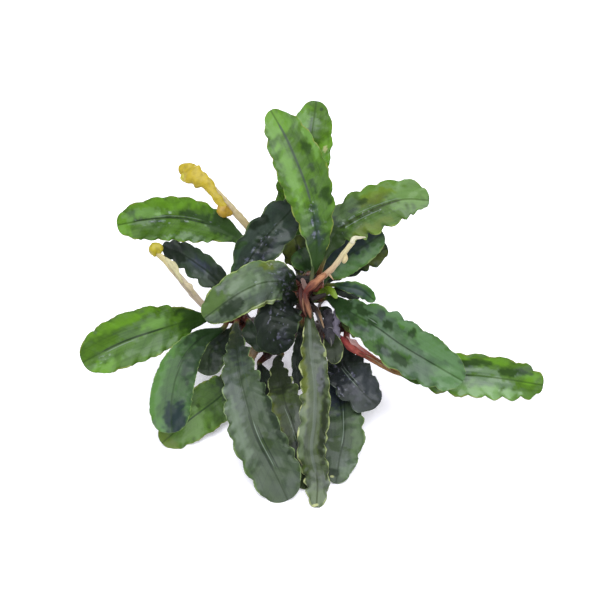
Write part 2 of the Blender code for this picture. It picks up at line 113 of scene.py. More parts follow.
# Colour of a fine leaf: the lengths of the noise that breaks up its painted sheen and patches
RAGGED_LENGTHS = (1.2, 4.0)
ISLAND_LENGTHS = (5.0, 14.0)
SHEEN_LENGTHS = (5.0, 12.0)
PATCH_WANDER = 0.2
NO_EDGE = 9.0

# Stems, stalks and the strips on them, of ragged tissue and of painted shade, and the lines on a blade
END_ROUND = 0.5
COVERING_PITCH = 0.16
COVERING_LUMP_LENGTHS = (1.8, 5.0)
TURN_SCALE = 1.5
SCAR_PITCH = 1.35
SCAR_WIDTH = 0.25
RHIZOME_RADIUS = 2.5
SHOOT_BURIED = 1.5
ROOT_RADII = (0.45, 0.3)
STREAK_TAPER = 1.5

# First seeds of the random draws
LEAF_SEED = 100
STALK_SEED = 300
STEM_SEED = 500

# Stalk colours
RED = (0.060, 0.013, 0.009)
RUSSET = (0.150, 0.044, 0.022)
TAN = (0.330, 0.190, 0.090)
STALK_GREEN = (0.100, 0.120, 0.024)

# Stem colours
STEM_GREY = (0.100, 0.086, 0.096)
STEM_BROWN = (0.085, 0.050, 0.036)
STEM_RED = (0.034, 0.009, 0.006)
STEM_SCAR = (0.030, 0.020, 0.016)

# Blade colours
UNDERSIDE = (0.080, 0.130, 0.055)
OLIVE = (0.120, 0.140, 0.010)
BLUE_BLACK = (0.010, 0.018, 0.030)
PALE_YELLOW = (0.32, 0.34, 0.15)
# Painted highlights drawn as pale lines along a blade
PAINTED_HIGHLIGHT_LINE = (0.14, 0.18, 0.14)
# Painted sheen: a grey-blue added to a blade's colour for the reflection of the light on it
PAINTED_SHEEN = (0.021, 0.019, 0.034)
DARK_LINE = (0.006, 0.014, 0.006)


@dataclass
class Tone:
    """The colours of a leaf's blade where it is deep and where it is light, and of its rim."""

    deep: tuple
    light: tuple
    rim: tuple


TONES = {
    "bright": Tone((0.012, 0.036, 0.003), (0.052, 0.122, 0.005), (0.17, 0.19, 0.03)),
    "leafy": Tone((0.016, 0.036, 0.005), (0.050, 0.106, 0.009), (0.18, 0.22, 0.05)),
    "jade": Tone((0.008, 0.024, 0.005), (0.030, 0.080, 0.011), (0.16, 0.22, 0.06)),
    "sea": Tone((0.006, 0.014, 0.006), (0.036, 0.064, 0.015), (0.22, 0.28, 0.08)),
    "dark": Tone((0.004, 0.010, 0.004), (0.013, 0.030, 0.008), (0.10, 0.14, 0.05)),
    "black": Tone((0.0025, 0.005, 0.003), (0.007, 0.014, 0.006), (0.06, 0.09, 0.03)),
    "olive": Tone((0.008, 0.013, 0.004), (0.036, 0.056, 0.011), (0.26, 0.30, 0.12)),
    "grey": Tone((0.009, 0.018, 0.008), (0.030, 0.052, 0.015), (0.15, 0.21, 0.08)),
    "slate": Tone((0.004, 0.007, 0.005), (0.013, 0.020, 0.013), (0.08, 0.11, 0.07)),
}

# The kinds of patch on a leaf, and how soft each one's edge is. gloss and dull change the painted sheen,
# rough the relief and the painted glints, and the others the colour
MARKS = {"gloss": 0.15, "dull": 0.15, "deep": 0.22, "light": 0.45, "olive": 0.45, "blue": 0.6, "pale": 0.12,
         "rough": 0.3}


@dataclass
class Covering:
    """A ragged strip of tissue, and some near-black strips of painted shade: its colour, line, half widths
    and half thicknesses.

    lumps is how lumpy it is, fibres how dark the lines along it are, and end_colour its colour at its end.
    """

    colour: tuple
    line: tuple
    half_widths: tuple
    half_thicknesses: tuple
    lumps: float = 0.2
    fibres: float = 0.0
    end_colour: tuple = ()


@dataclass
class Shoot:
    """An upright stem: the points of its axis from foot to top, and its radius.

    It is red from red_from, a share of its length, up. coverings holds old leaf feet and sheaths on it, and
    near-black strips of painted shade.
    """

    name: str
    axis: tuple
    radius: float
    red_from: float
    coverings: tuple = ()


@dataclass
class Leaf:
    """A leaf as in the part's source, and how its surface looks.

    It leaves its shoot at a share of the shoot's length, level, and towards an angle, side. rim is how wide
    its pale rim is, lobes how deep the scallops of its two margins are, and pitch how long they are. bites
    are notches: where along, which side, half length and depth, negative where the margin bulges. sheen is
    how strong the painted grey sheen on the blade is, gloss how strong it is in glossy patches, and islands
    how much of it is broken up. marks are patches: their kinds from MARKS, then each one's place along, place
    across from -1 to 1, half length and half width. streaks are lines: a colour, where each end is along and
    across, and half width. stalk_tones are the stalk's colours from foot to blade, and sheathing how much
    wider its foot is.
    """

    name: str
    shoot: str
    side: float
    level: float
    width: float
    midrib: tuple
    stalk: float = 3.0
    stalk_radius: float = STALK_RADIUS
    peak: float = 0.6
    blunt: float = 2.4
    cup: float = 0.15
    ruffle: float = 0.5
    roll: float = 0.0
    lean: float = 0.0
    tone: str = "jade"
    rim: float = 1.0
    pitch: float = 1.2
    lobes: tuple = (0.3, 0.3)
    bites: tuple = ()
    sheen: float = 0.35
    gloss: float = 0.5
    islands: float = 0.2
    marks: tuple = ()
    streaks: tuple = ()
    stalk_tones: tuple = (RED, RUSSET, STALK_GREEN)
    sheathing: float = 0.7


@dataclass
class Stalk:
    """A bare stalk or sheath: its line from a shoot, its half width and half thickness along the line.

    coverings holds the strips of rotted or torn tissue along it.
    """

    name: str
    shoot: str
    side: float
    level: float
    line: tuple
    half_widths: tuple
    half_thicknesses: tuple
    colours: tuple
    coverings: tuple = ()


SHOOTS = (
    Shoot("shoot_centre", ((1.2, 8.2, 5.2), (1.2, 11, 9.5), (1.5, 14.3, 14.5), (1.8, 16.2, 18.5)), 2.2,
          red_from=0.0,
          coverings=(
              Covering((0.12, 0.016, 0.01), ((1.5, 13.4, 22), (1.7, 14.8, 23.2), (3.2, 16.3, 24.2),
                    (4.8, 17.7, 25), (6.6, 19.1, 25.8)), (0.4, 0.8, 1, 0.9, 0.5), (0.3, 0.5, 0.5, 0.4, 0.2),
                    0.06, 0.6, (0.37, 0.17, 0.08)),
              Covering((0.1, 0.016, 0.012), ((1.3, 15.4, 23), (1.2, 13.4, 22.2), (1.8, 11.2, 21),
                    (2.4, 9.2, 19.8), (2.7, 7.8, 18.8)), (0.3, 0.65, 0.75, 0.65, 0.2),
                    (0.3, 0.5, 0.5, 0.4, 0.2), 0.05, 0.75, (0.22, 0.1, 0.045)),
              Covering((0.24, 0.15, 0.13), ((0.3, 17.9, 23.6), (0.9, 16.9, 23.6), (1.5, 15.4, 23.2),
                    (1.6, 14.2, 22.8)), (0.3, 0.75, 0.6, 0.2), (0.1, 0.15, 0.15, 0.1), 0.35, 0.7,
                    (0.1, 0.03, 0.02)),
              Covering((0.06, 0.01, 0.008), ((0.2, 15.8, 22.4), (0.3, 13.6, 21.8), (0.7, 11, 20.4),
                    (1.6, 8.2, 18.6)), (0.5, 0.7, 0.6, 0.2), (0.3, 0.4, 0.4, 0.2), 0.08, 0.7,
                    (0.1, 0.03, 0.018)),
              Covering((0.26, 0.13, 0.07), ((1, 14.2, 22.6), (0.7, 12, 21.6), (1, 9.6, 20.2)), (0.1, 0.2, 0.1),
                    (0.1, 0.2, 0.1), 0.05, 0.3),
              Covering((0.075, 0.012, 0.008), ((2.8, 15, 22.6), (4.4, 16, 23.2), (5.8, 17.2, 23.8)),
                    (0.4, 0.7, 0.3), (0.3, 0.4, 0.2), 0.08, 0.7, (0.12, 0.03, 0.015)),
              # A near-black strip: painted shade under the leaf stalks here
              Covering((0.01, 0.004, 0.003), ((2.6, 12.6, 20.8), (4.6, 13.2, 21.2), (6.6, 14, 21.4)),
                    (0.4, 0.7, 0.4), (0.2, 0.3, 0.2), 0.1),
              Covering((0.035, 0.066, 0.014), ((3.4, 22.2, 25.6), (3.1, 19.4, 24.8), (2.8, 17.4, 24),
                    (2.4, 15.8, 23.2)), (0.2, 0.4, 0.5, 0.3), (0.2, 0.3, 0.3, 0.2), 0.05, 0.6,
                    (0.06, 0.05, 0.014)),
              # A near-black strip: painted shade over the gaps between the leaf feet
              Covering((0.008, 0.006, 0.004), ((-0.9, 18.4, 21.8), (0.6, 17.6, 22.4), (2.4, 17.8, 22.6),
                    (3.9, 18.6, 22.8)), (0.6, 1, 1, 0.6), (0.3, 0.4, 0.4, 0.3), 0.1),
          )),
    Shoot("shoot_left", ((-14.5, 7.7, 4.9), (-14.8, 8.6, 6.5), (-15.2, 10.2, 9.5)), 1.9, red_from=-0.2),
    Shoot("shoot_right", ((8.4, 4.7, 5.1), (8.6, 6.2, 7), (8.8, 9, 10)), 1.7, red_from=2.0,
          coverings=(
              Covering((0.046, 0.04, 0.052), ((6.6, 10, 12.6), (7.4, 7.4, 13.2), (7.9, 4.4, 13.6),
                    (8.1, 0.6, 12.8)), (1.1, 1.4, 1.6, 1.5), (0.5, 0.8, 0.8, 0.5), 0.15, 0.9,
                    (0.022, 0.022, 0.026)),
              Covering((0.24, 0.21, 0.29), ((8.6, 10, 13.6), (9.1, 8, 14.2), (9.2, 5.4, 14.5),
                    (9.8, 2.8, 13.8)), (0.3, 0.8, 0.7, 0.3), (0.1, 0.3, 0.3, 0.1), 0.3, 0.8,
                    (0.15, 0.13, 0.17)),
              Covering((0.13, 0.12, 0.13), ((6.6, 5.2, 14.2), (7.4, 5.6, 14.6), (8.6, 5.3, 14.8)),
                    (0.06, 0.13, 0.06), (0.1, 0.1, 0.1), 0.3),
              Covering((0.15, 0.14, 0.13), ((7.4, 3.2, 14.2), (7.8, 2, 14.4), (7.8, 0.8, 14)),
                    (0.05, 0.12, 0.05), (0.1, 0.1, 0.1), 0.3),
              Covering((0.036, 0.06, 0.012), ((10.4, 7.2, 13.6), (11.6, 6, 14), (12.8, 4.6, 13.8),
                    (13.6, 3, 13.2)), (0.3, 0.9, 0.8, 0.3), (0.1, 0.2, 0.2, 0.1), 0.2, 0.5,
                    (0.1, 0.14, 0.01)),
              Covering((0.17, 0.007, 0.011), ((9.4, 4, 12.4), (10.4, 2.9, 13.2), (12.2, 1.4, 13.4),
                    (14.6, -0.4, 12.8), (17.4, -2.3, 12.2)), (0.25, 0.7, 1.1, 0.8, 0.3),
                    (0.3, 0.4, 0.4, 0.4, 0.2), 0.12, 0.5, (0.44, 0.1, 0.07)),
              Covering((0.66, 0.42, 0.4), ((11.6, 3.4, 14), (13.2, 2.1, 14.2), (15.2, 0.5, 13.8),
                    (17.4, -1.2, 13.2)), (0.1, 0.6, 0.45, 0.1), (0.1, 0.2, 0.2, 0.1), 0.25, 0.5,
                    (0.4, 0.1, 0.07)),
              Covering((0.28, 0.07, 0.04), ((14.6, -0.6, 13), (17.6, -2.5, 12.4), (20.8, -4.3, 11.8),
                    (24, -6, 11.4)), (0.15, 0.4, 0.35, 0.15), (0.2, 0.3, 0.3, 0.1), 0.05, 0.6,
                    (0.38, 0.24, 0.08)),
              Covering((0.44, 0.29, 0.17), ((16.4, -1.2, 12.7), (19.6, -3.2, 12.2), (22.8, -5, 11.8)),
                    (0.1, 0.22, 0.1), (0.1, 0.2, 0.1), 0.05, 0.4),
          )),
    Shoot("shoot_front", ((-7.4, 2.4, 2.6), (-7.8, 0.4, 3.2), (-8.2, -1.8, 4)), 1.5, red_from=0.2),
)

LEAVES = (
    Leaf("leaf_back_tall", "shoot_centre", 85, 0.92, width=12.2, stalk=7.5, blunt=2, cup=0.2, lean=0.05,
         midrib=((3.6, 20, 24), (4.2, 27, 31), (3.1, 35, 37.5), (1, 42.5, 42.5), (-3.2, 52.5, 49),
             (-7.4, 60, 53)),
         tone="bright", rim=1.4, lobes=(0.9, 1), bites=((0.97, 1, 1.4, 1.2),), sheen=0.3, gloss=0.7,
         islands=0.3,
         marks=(("gloss", (0.74, 0.9, 3.4, 1.3), (0.76, 0.92, 5, 0.9), (0.72, -0.45, 12, 2.4),
             (0.88, 0.7, 3, 1.2), (0.3, -0.4, 5, 1.6)), ("deep", (0.6, 0.45, 1.2, 0.8), (0.5, 0.3, 1.6, 0.7),
             (0.71, 0.6, 2.2, 1.1), (0.44, 0.68, 1.7, 1.3), (0.12, 0.2, 5, 3.4)),
             ("light", (0.76, 0.92, 6, 1), (0.6, -0.4, 8, 1.4), (0.93, -0.1, 4, 4)),
             ("dull", (0.44, -0.1, 4, 1.3), (0.71, 0.6, 2.4, 1.3), (0.58, 0.5, 1.3, 2),
             (0.44, 0.68, 1.9, 1.5), (0.43, -0.85, 2.6, 1.1), (0.52, -0.8, 1.2, 1.2)),
             ("blue", (0.3, 0.08, 4.5, 1.2)), ("rough", (0.3, 0.1, 5, 2.2))),
         streaks=(((0.036, 0.052, 0.04), (0.42, 0), (0.92, 0), 0.34), ((0.17, 0.24, 0.09), (0.02, -0.5),
             (0.28, -0.95), 0.16))),
    Leaf("leaf_back_second", "shoot_centre", 110, 0.35, width=11.4, stalk=8,
         midrib=((-0.4, 19, 11.5), (-1.2, 25, 16.5), (-1.8, 30, 21.5), (-0.4, 40, 31), (2.4, 51, 40),
             (4.1, 62.3, 47.3)),
         tone="bright", rim=1.5, lobes=(0.8, 0.8), gloss=1.1, islands=0.4,
         # The light and pale patches near 0.74 along are a painted highlight
         marks=(("light", (0.7, 0.72, 4, 1.6), (0.74, 0.7, 2.2, 1.6), (0.75, 0.9, 5, 0.8),
             (0.9, -0.7, 3, 2)), ("gloss", (0.72, 0.7, 2, 1.3), (0.87, -0.35, 3.2, 3.2)),
             ("pale", (0.74, 0.72, 0.7, 0.4)), ("deep", (0.83, -0.1, 3, 0.4), (0.955, 0.5, 0.4, 0.55)),
             ("dull", (0.96, 0.3, 1.2, 3), (0.8, 0.65, 3, 1.6), (0.72, 0.2, 4, 3)))),
    Leaf("leaf_back_left", "shoot_left", 62, 0.85, width=10.4, stalk=7, peak=0.55, roll=-8,
         midrib=((-14.6, 15, 17), (-13.4, 21, 22.5), (-10.3, 26, 26.5), (-5.8, 31.2, 30), (0.2, 37.5, 32.5)),
         tone="dark", rim=1.6, pitch=1.6, lobes=(1.5, 0.6), sheen=0.65, gloss=0.8, islands=0,
         marks=(("gloss", (0.62, 0.55, 5, 1.8), (0.32, 0.2, 4, 1.2)), ("rough", (0.52, 0.3, 3, 2),
             (0.5, 0.2, 5, 2.4)), ("deep dull", (0.64, -0.66, 2.3, 1.2)), ("deep", (0.52, 0.25, 3.5, 1.6)),
             ("dull", (0.52, 0.25, 2.4, 0.8)), ("light", (0.3, -0.85, 6, 0.6)))),
    Leaf("leaf_left_upper", "shoot_centre", 165, 0.74, width=11, stalk=17.5, peak=0.5, blunt=2.6, roll=8,
         midrib=((-7.5, 22, 20.5), (-14, 27, 23), (-20.5, 30.6, 25), (-30, 32.9, 27), (-38, 32.6, 28),
             (-45.8, 31.2, 28)),
         tone="bright", rim=1.5, lobes=(0.9, 0.9), sheen=0.15, gloss=1,
         # The light patches at 0.75 along, 0.3 across, are a painted highlight
         marks=(("light", (0.5, 0.9, 8, 0.7), (0.76, 0.3, 3.4, 1.4), (0.75, 0.35, 4, 1.6),
             (0.7, 0.7, 9, 1.5), (0.96, 0, 2, 4)), ("dull", (0.65, -0.65, 5, 0.8), (0.48, 0.74, 11, 1.4),
             (0.14, 0.1, 5, 4)), ("rough", (0.68, -0.05, 6, 1.6), (0.6, 0.1, 9, 1.4)),
             ("deep", (0.62, 0.12, 1.6, 0.3), (0.72, -0.1, 1.3, 0.3), (0.5, -0.08, 1.4, 0.3),
             (0.2, 0.3, 6, 2.4), (0.45, 0.25, 3, 1)), ("gloss", (0.75, 0.35, 3.4, 1.3), (0.5, -0.72, 8, 0.9),
             (0.84, 0.45, 3.4, 1.3), (0.79, 0.05, 5.2, 1.3), (0.47, 0.62, 0.8, 0.9))),
         streaks=((DARK_LINE, (0.3, 0.02), (0.88, 0.03), 0.2), (PAINTED_HIGHLIGHT_LINE, (0.35, 0.13), (0.75, 0.1), 0.1))),
    Leaf("leaf_right_upper", "shoot_centre", 38, 0.88, width=11.4, stalk=8, peak=0.5, roll=5,
         midrib=((5.2, 20.5, 22), (8.2, 28, 27), (11, 31.2, 29.5), (17.5, 34.8, 32.5), (25.5, 37.6, 34.5),
             (32.4, 37.4, 35)),
         tone="leafy", rim=1.5, lobes=(1.1, 1.8), bites=((0.93, 1, 0.9, 1.3), (0.97, 1, 0.5, 0.9)),
         sheen=0.22, gloss=0.9, islands=0.15,
         marks=(("gloss", (0.68, -0.65, 3.4, 1.3), (0.36, -0.55, 4.5, 2.6), (0.87, -0.1, 6, 4.4)),
             ("deep", (0.38, 0.14, 1.5, 0.35), (0.47, 0.12, 1.2, 0.35), (0.57, 0.12, 1.6, 0.3),
             (0.5, -0.5, 1.5, 0.6), (0.42, -0.35, 1.3, 0.5), (0.15, 0, 5, 4)),
             ("light", (0.55, -0.75, 2, 1.2), (0.86, -0.3, 5, 3.4), (0.66, -0.8, 5, 1.6),
             (0.72, -0.8, 6, 1.4)), ("rough", (0.45, 0.1, 9, 1.6)), ("dull olive", (0.6, -0.5, 4, 1.6)),
             ("olive", (0.45, 0.7, 6, 1.4)), ("dull", (0.48, 0.1, 6, 1.2))),
         streaks=(((0.02, 0.034, 0.006), (0.26, 0.02), (0.8, 0), 0.34), (PAINTED_HIGHLIGHT_LINE, (0.3, 0.16),
             (0.62, 0.14), 0.12), (PAINTED_HIGHLIGHT_LINE, (0.42, -0.14), (0.8, -0.1), 0.09))),
    Leaf("leaf_right_cupped", "shoot_centre", 20, 0.66, width=8.6, stalk=2.5, peak=0.4, cup=0.25,
         ruffle=0.15, roll=-12,
         midrib=((6, 19.5, 19), (11.2, 23.1, 21.5), (15.8, 25.9, 23.5), (20.8, 29.2, 24.5)),
         rim=1.6, lobes=(0.15, 0.15), sheen=0.3, gloss=0.6, islands=0,
         # The blue, deep and dull patches on one half are painted shade cast by the leaves above
         marks=(("blue", (0.58, -0.8, 12, 3.8)), ("deep", (0.5, -0.5, 10, 2.6)),
             ("dull", (0.62, -0.7, 11, 3)), ("light", (0.62, 0.75, 11, 2.4)),
             ("gloss", (0.3, 0.35, 3.4, 1.6), (0.66, 0.5, 6, 1.4)))),
    Leaf("leaf_right_under", "shoot_centre", 28, 0.44, width=7.6, stalk=5,
         midrib=((6.5, 17, 13.5), (11.2, 21, 15), (16, 23.8, 17), (22, 25.4, 18.5)),
         tone="dark", lobes=(0.9, 1.4), sheen=0.25, gloss=0.6,
         marks=(("olive", (0.8, 0.5, 4, 2)), ("deep", (0.3, 0, 6, 4)))),
    Leaf("leaf_right_long", "shoot_centre", -30, 0.66, width=12, stalk=5, peak=0.66,
         midrib=((7.5, 12.8, 17), (12.5, 9.5, 19.8), (19, 5.8, 20.8), (25.5, 1.2, 20), (32.5, -3, 17.5),
             (40.8, -7.8, 14)),
         pitch=1.8, lobes=(1.2, 1.4), sheen=0.9, gloss=1.05, islands=0.35,
         marks=(("gloss", (0.72, 0.1, 5, 2.6), (0.57, -0.85, 8, 0.9), (0.84, 0, 7, 5), (0.45, 0, 6, 1.6)),
             ("deep", (0.42, -0.62, 1.2, 1.1), (0.36, 0.5, 2.2, 0.8), (0.55, 0.62, 2.4, 1.2),
             (0.4, -0.1, 1.6, 0.9), (0.65, 0.55, 2.2, 1.1), (0.22, 0.3, 4, 1.6), (0.14, -0.1, 5.5, 4),
             (0.49, -0.35, 1.4, 1.1), (0.63, -0.6, 1.1, 1)), ("dull", (0.32, 0.1, 2.4, 0.8),
             (0.4, -0.1, 1.8, 1), (0.13, -0.1, 5.5, 4), (0.49, -0.35, 1.5, 1.2), (0.63, -0.6, 1.3, 1.1),
             (0.65, 0.45, 2.6, 1.7), (0.51, 0.45, 1.5, 1.1)), ("light", (0.57, -0.8, 9, 1.2),
             (0.8, -0.6, 7, 2.2), (0.93, 0.2, 4, 4)), ("deep dull", (0.3, -0.45, 2.8, 1.1))),
         streaks=((DARK_LINE, (0.38, 0), (0.84, 0), 0.13), (PAINTED_HIGHLIGHT_LINE, (0.36, -0.2), (0.44, -0.14), 0.16))),
    Leaf("leaf_far_right", "shoot_right", -25, 0.35, width=10.4, stalk=25, stalk_radius=0.8, peak=0.45,
         blunt=2.6,
         midrib=((11.8, 2.6, 7.6), (15, 0.2, 8), (21, -3.9, 9), (26, -5.9, 9.8), (33, -6.2, 10.5),
             (43, -6.3, 11), (53, -7.5, 9.5), (60.8, -8.8, 6.5)),
         tone="bright", rim=1.6, pitch=1.5, lobes=(1.4, 1.7), sheen=0.5, gloss=1.9, islands=0.3,
         marks=(("light", (0.4, -0.8, 2.6, 0.9), (0.64, -0.75, 3.4, 0.8), (0.9, -0.3, 2.4, 1.6),
             (0.55, 0.7, 9, 1.6)), ("deep", (0.5, -0.6, 5, 0.7), (0.8, -0.5, 3, 0.8), (0.42, -0.5, 2.4, 0.9),
             (0.72, -0.35, 2, 1)), ("gloss", (0.54, -0.25, 9, 0.9), (0.58, 0.3, 8, 2),
             (0.25, -0.12, 10, 1.2), (0.55, 0.6, 9, 1.8)), ("dull", (0.5, -0.7, 9, 1.4),
             (0.72, -0.35, 2, 1.2), (0.88, 0.1, 3, 1.6))),
         streaks=((DARK_LINE, (0.1, -0.02), (0.5, 0.02), 0.2), (DARK_LINE, (0.15, 0.1), (0.45, 0.1), 0.1)),
         stalk_tones=((0.04, 0.014, 0.01), (0.32, 0.06, 0.045), (0.36, 0.2, 0.07)), sheathing=0.8),
    Leaf("leaf_far_left", "shoot_left", 186, 0.7, width=12.8, stalk=9, blunt=2.6, roll=8, lean=0.05,
         midrib=((-20.5, 8.4, 10.5), (-27.5, 7.4, 14), (-35, 5.2, 15.8), (-43.5, 2.3, 15.5),
             (-49.5, -0.6, 14.5), (-54.4, -3.2, 13.5)),
         tone="bright", rim=1.5, pitch=1.5, lobes=(0.5, 0.7), gloss=0.9, islands=0.15,
         # The light patch at 0.9 along, near the tip, is a painted highlight
         marks=(("gloss", (0.92, -0.45, 1.4, 0.9), (0.5, 0.3, 6, 2.6), (0.6, 0.2, 5, 1.6),
             (0.5, -0.42, 7, 2.3), (0.87, -0.36, 2.7, 0.9)), ("light", (0.9, -0.5, 2, 1),
             (0.44, 0.3, 3, 1.4), (0.68, 0.8, 9, 1.3), (0.9, -0.7, 4, 1.4)), ("dull", (0.81, 0.3, 4, 1.6),
             (0.14, 0.2, 6.5, 4.4), (0.72, 0.75, 8, 1.5), (0.95, 0.2, 2, 3)),
             ("deep", (0.12, 0.2, 5.5, 4.4)), ("rough", (0.86, -0.3, 3.4, 1))),
         streaks=((DARK_LINE, (0.38, 0), (0.86, 0.02), 0.26), (PAINTED_HIGHLIGHT_LINE, (0.6, -0.08), (0.84, -0.07),
             0.13))),
    Leaf("leaf_centre_left", "shoot_centre", 192, 0.93, width=10.8, stalk=1.5, peak=0.45, blunt=2.6,
         cup=-0.1,
         midrib=((-4, 17, 24.5), (-9, 16.9, 27), (-14, 14.9, 27.5), (-18.5, 12, 26.5), (-24, 7.9, 23)),
         tone="sea", rim=1.6, pitch=1.5, lobes=(0.5, 0.7), sheen=1.05, gloss=1.3, islands=0,
         marks=(("gloss", (0.6, 0.2, 5, 2.2)), ("light", (0.6, 0.25, 5, 2.4), (0.9, 0.5, 4.2, 2.6),
             (0.62, 0.96, 8, 0.9)), ("dull", (0.9, 0.55, 4.2, 2.6), (0.78, -0.38, 3, 1.8),
             (0.26, -0.3, 2.6, 1.5), (0.2, 0.4, 3, 1.5)), ("deep", (0.78, -0.38, 3.2, 1.9),
             (0.22, 0.1, 4.4, 3.2)), ("dull olive", (0.4, 0.74, 1.6, 1.1)), ("rough", (0.24, 0, 7, 4.5)),
             ("olive", (0.5, -0.97, 9, 0.6))),
         streaks=(((0.28, 0.34, 0.16), (0.74, -0.99), (0.28, -0.99), 0.16),)),
    Leaf("leaf_centre_low", "shoot_centre", 232, 0.7, width=10.6, stalk=1.5, peak=0.5,
         midrib=((-3.2, 12, 17.5), (-5.4, 8, 18), (-6, 3.5, 15), (-4.8, -0.8, 10.5)),
         tone="black", rim=1.5, lobes=(1, 1), sheen=0.1, gloss=0.6, islands=0.6,
         marks=(("rough", (0.7, 0, 5, 3), (0.4, 0.3, 4, 2)), ("deep", (0.3, -0.4, 4, 2)),
             ("gloss", (0.78, -0.4, 2.4, 1.2)))),
    Leaf("leaf_dark_behind", "shoot_centre", 262, 0.22, width=3.2, ruffle=0.2,
         midrib=((0.2, 4, 5.8), (-0.5, -2.5, 4.2), (-0.3, -10, 1.6)),
         tone="black", sheen=0.1),
    Leaf("leaf_left_inner", "shoot_left", 305, 0.62, width=5.5, stalk=2, ruffle=0.3,
         midrib=((-12, 4.6, 8.8), (-10, 2.4, 8.4), (-7.8, 0.4, 7.4)),
         tone="dark", lobes=(0.5, 0.5), sheen=0.3, gloss=1),
    Leaf("leaf_left_arched", "shoot_left", 212, 0.42, width=10.4, stalk=8.5, peak=0.75, blunt=2.8,
         ruffle=0.15, roll=-10,
         midrib=((-19.5, 5.2, 9.5), (-24.5, 3, 12), (-28.5, -1.2, 12.5), (-31, -7, 11.2), (-32.2, -13.5, 9),
             (-32, -20.7, 6.5)),
         lobes=(0.05, 0.05), sheen=0.45, gloss=0.7, islands=0,
         # The blue, deep and dull patches at 0.9 along paint a dark reflection near the tip
         marks=(("light", (0.62, 0.88, 12, 1.6), (0.95, 0.7, 3, 1.6)), ("dull", (0.62, 0.98, 12, 1.1),
             (0.9, -0.22, 4.2, 2.6), (0.12, 0, 6, 3)), ("blue", (0.9, -0.22, 4.4, 2.7)),
             ("deep", (0.9, -0.22, 4, 2.5), (0.4, -0.6, 7, 2), (0.12, 0, 7, 4))),
         streaks=((DARK_LINE, (0.15, 0.04), (0.55, 0.1), 0.14),)),
    Leaf("leaf_left_floor", "shoot_left", 282, 0.1, width=11.2, stalk=12, peak=0.55, ruffle=0.35,
         midrib=((-15, 0, 3), (-16, -6, 3), (-19.5, -11.2, 4.2), (-27, -17, 3.8), (-34.6, -23.3, 0.9)),
         tone="leafy", rim=1.5, pitch=1.5, lobes=(0.8, 0.5), gloss=0.6, islands=0.1,
         marks=(("gloss", (0.75, -0.5, 4, 1.8), (0.47, 0.2, 5.5, 4.4), (0.8, -0.1, 5, 3)),
             ("light", (0.75, -0.55, 5, 2), (0.78, -0.2, 6, 4), (0.97, 0, 2, 4)),
             ("olive", (0.97, -0.2, 1.6, 4)), ("deep", (0.61, 0.3, 0.5, 0.6), (0.25, 0, 5, 5)),
             ("dull", (0.61, 0.3, 0.6, 0.7))),
         streaks=(((0.02, 0.045, 0.018), (0.3, 0), (0.8, 0), 0.2),)),
    Leaf("leaf_left_drooping", "shoot_left", 240, 0.2, width=8.8, ruffle=0.4,
         midrib=((-18.8, 2.9, 6.8), (-22.3, -0.2, 7.6), (-23, -6.4, 5.2)),
         tone="grey", rim=1.6, lobes=(0.4, 0.4), sheen=0.25, gloss=0.6,
         marks=(("deep", (0.3, -0.3, 4, 3), (0.7, -0.4, 4, 1.4)), ("light", (0.5, 0.7, 4, 2.4)),
             ("gloss", (0.5, 0.4, 4, 2.4)), ("olive", (0.4, 0.9, 2, 1))),
         stalk_tones=(RUSSET, STALK_GREEN, STALK_GREEN)),
    Leaf("leaf_front_left", "shoot_left", 258, 0.78, width=12.6, stalk=4, peak=0.82,
         midrib=((-16, 3, 12), (-15.2, -5, 13.5), (-13.2, -13.5, 12.3), (-10.8, -21.5, 9),
             (-6.9, -29.4, 4.2), (-3, -37.6, 0.3)),
         tone="grey", rim=1.3, pitch=1.4, lobes=(1.5, 1.2), bites=((0.86, 1, 6, 0.35),), sheen=0.58,
         gloss=1.05, islands=0,
         marks=(("light", (0.65, 0.66, 8, 1.5), (0.75, 0.97, 13, 0.8)), ("gloss", (0.65, 0.62, 8, 1.4),
             (0.5, 0.5, 8, 2)), ("dull", (0.12, 0, 7, 3), (0.75, 1, 13, 0.7), (0.6, -0.9, 10, 0.9)),
             ("deep", (0.18, -0.15, 9, 2.4), (0.6, -0.9, 10, 0.8)), ("olive", (0.12, 0.5, 5, 1.4))),
         streaks=((DARK_LINE, (0.58, 0.07), (0.87, 0.02), 0.22), (DARK_LINE, (0.64, -0.17), (0.87, -0.2),
             0.18), (PAINTED_HIGHLIGHT_LINE, (0.62, -0.05), (0.85, -0.08), 0.13), (DARK_LINE, (0.3, 0.1), (0.58, 0.1),
             0.08), ((0.03, 0.05, 0.035), (0.2, -0.3), (0.5, -0.26), 0.12))),
    Leaf("leaf_front_middle", "shoot_front", 325, 0.6, width=9.2,
         midrib=((-5.6, -3.6, 4.6), (-4, -12, 5.6), (-2, -17.8, 4.6), (0, -25, 2.2), (1.6, -34.8, 0.4)),
         tone="olive", rim=1.4, lobes=(1.2, 1.2), gloss=1, islands=0,
         marks=(("dull", (0.25, 0.2, 9, 3.4), (0.5, 0.9, 12, 1)), ("deep", (0.2, 0, 7, 4), (0.8, 0, 5, 3)),
             ("olive", (0.5, 0.8, 10, 1)), ("gloss", (0.6, -0.3, 7, 1.9))),
         streaks=((DARK_LINE, (0.42, 0.04), (0.8, -0.1), 0.13), (PAINTED_HIGHLIGHT_LINE, (0.44, 0.14), (0.7, 0.06), 0.1))),
    Leaf("leaf_front_hidden", "shoot_front", 255, 0.85, width=6, ruffle=0.2,
         midrib=((-9.4, -6.2, 3.2), (-9.2, -11, 2.6), (-7.8, -18, 1.6)),
         tone="black", sheen=0.1),
    Leaf("leaf_front_long", "shoot_centre", 266, 0.86, width=7, stalk=7.5, stalk_radius=0.8, peak=0.5,
         blunt=3, cup=-0.3,
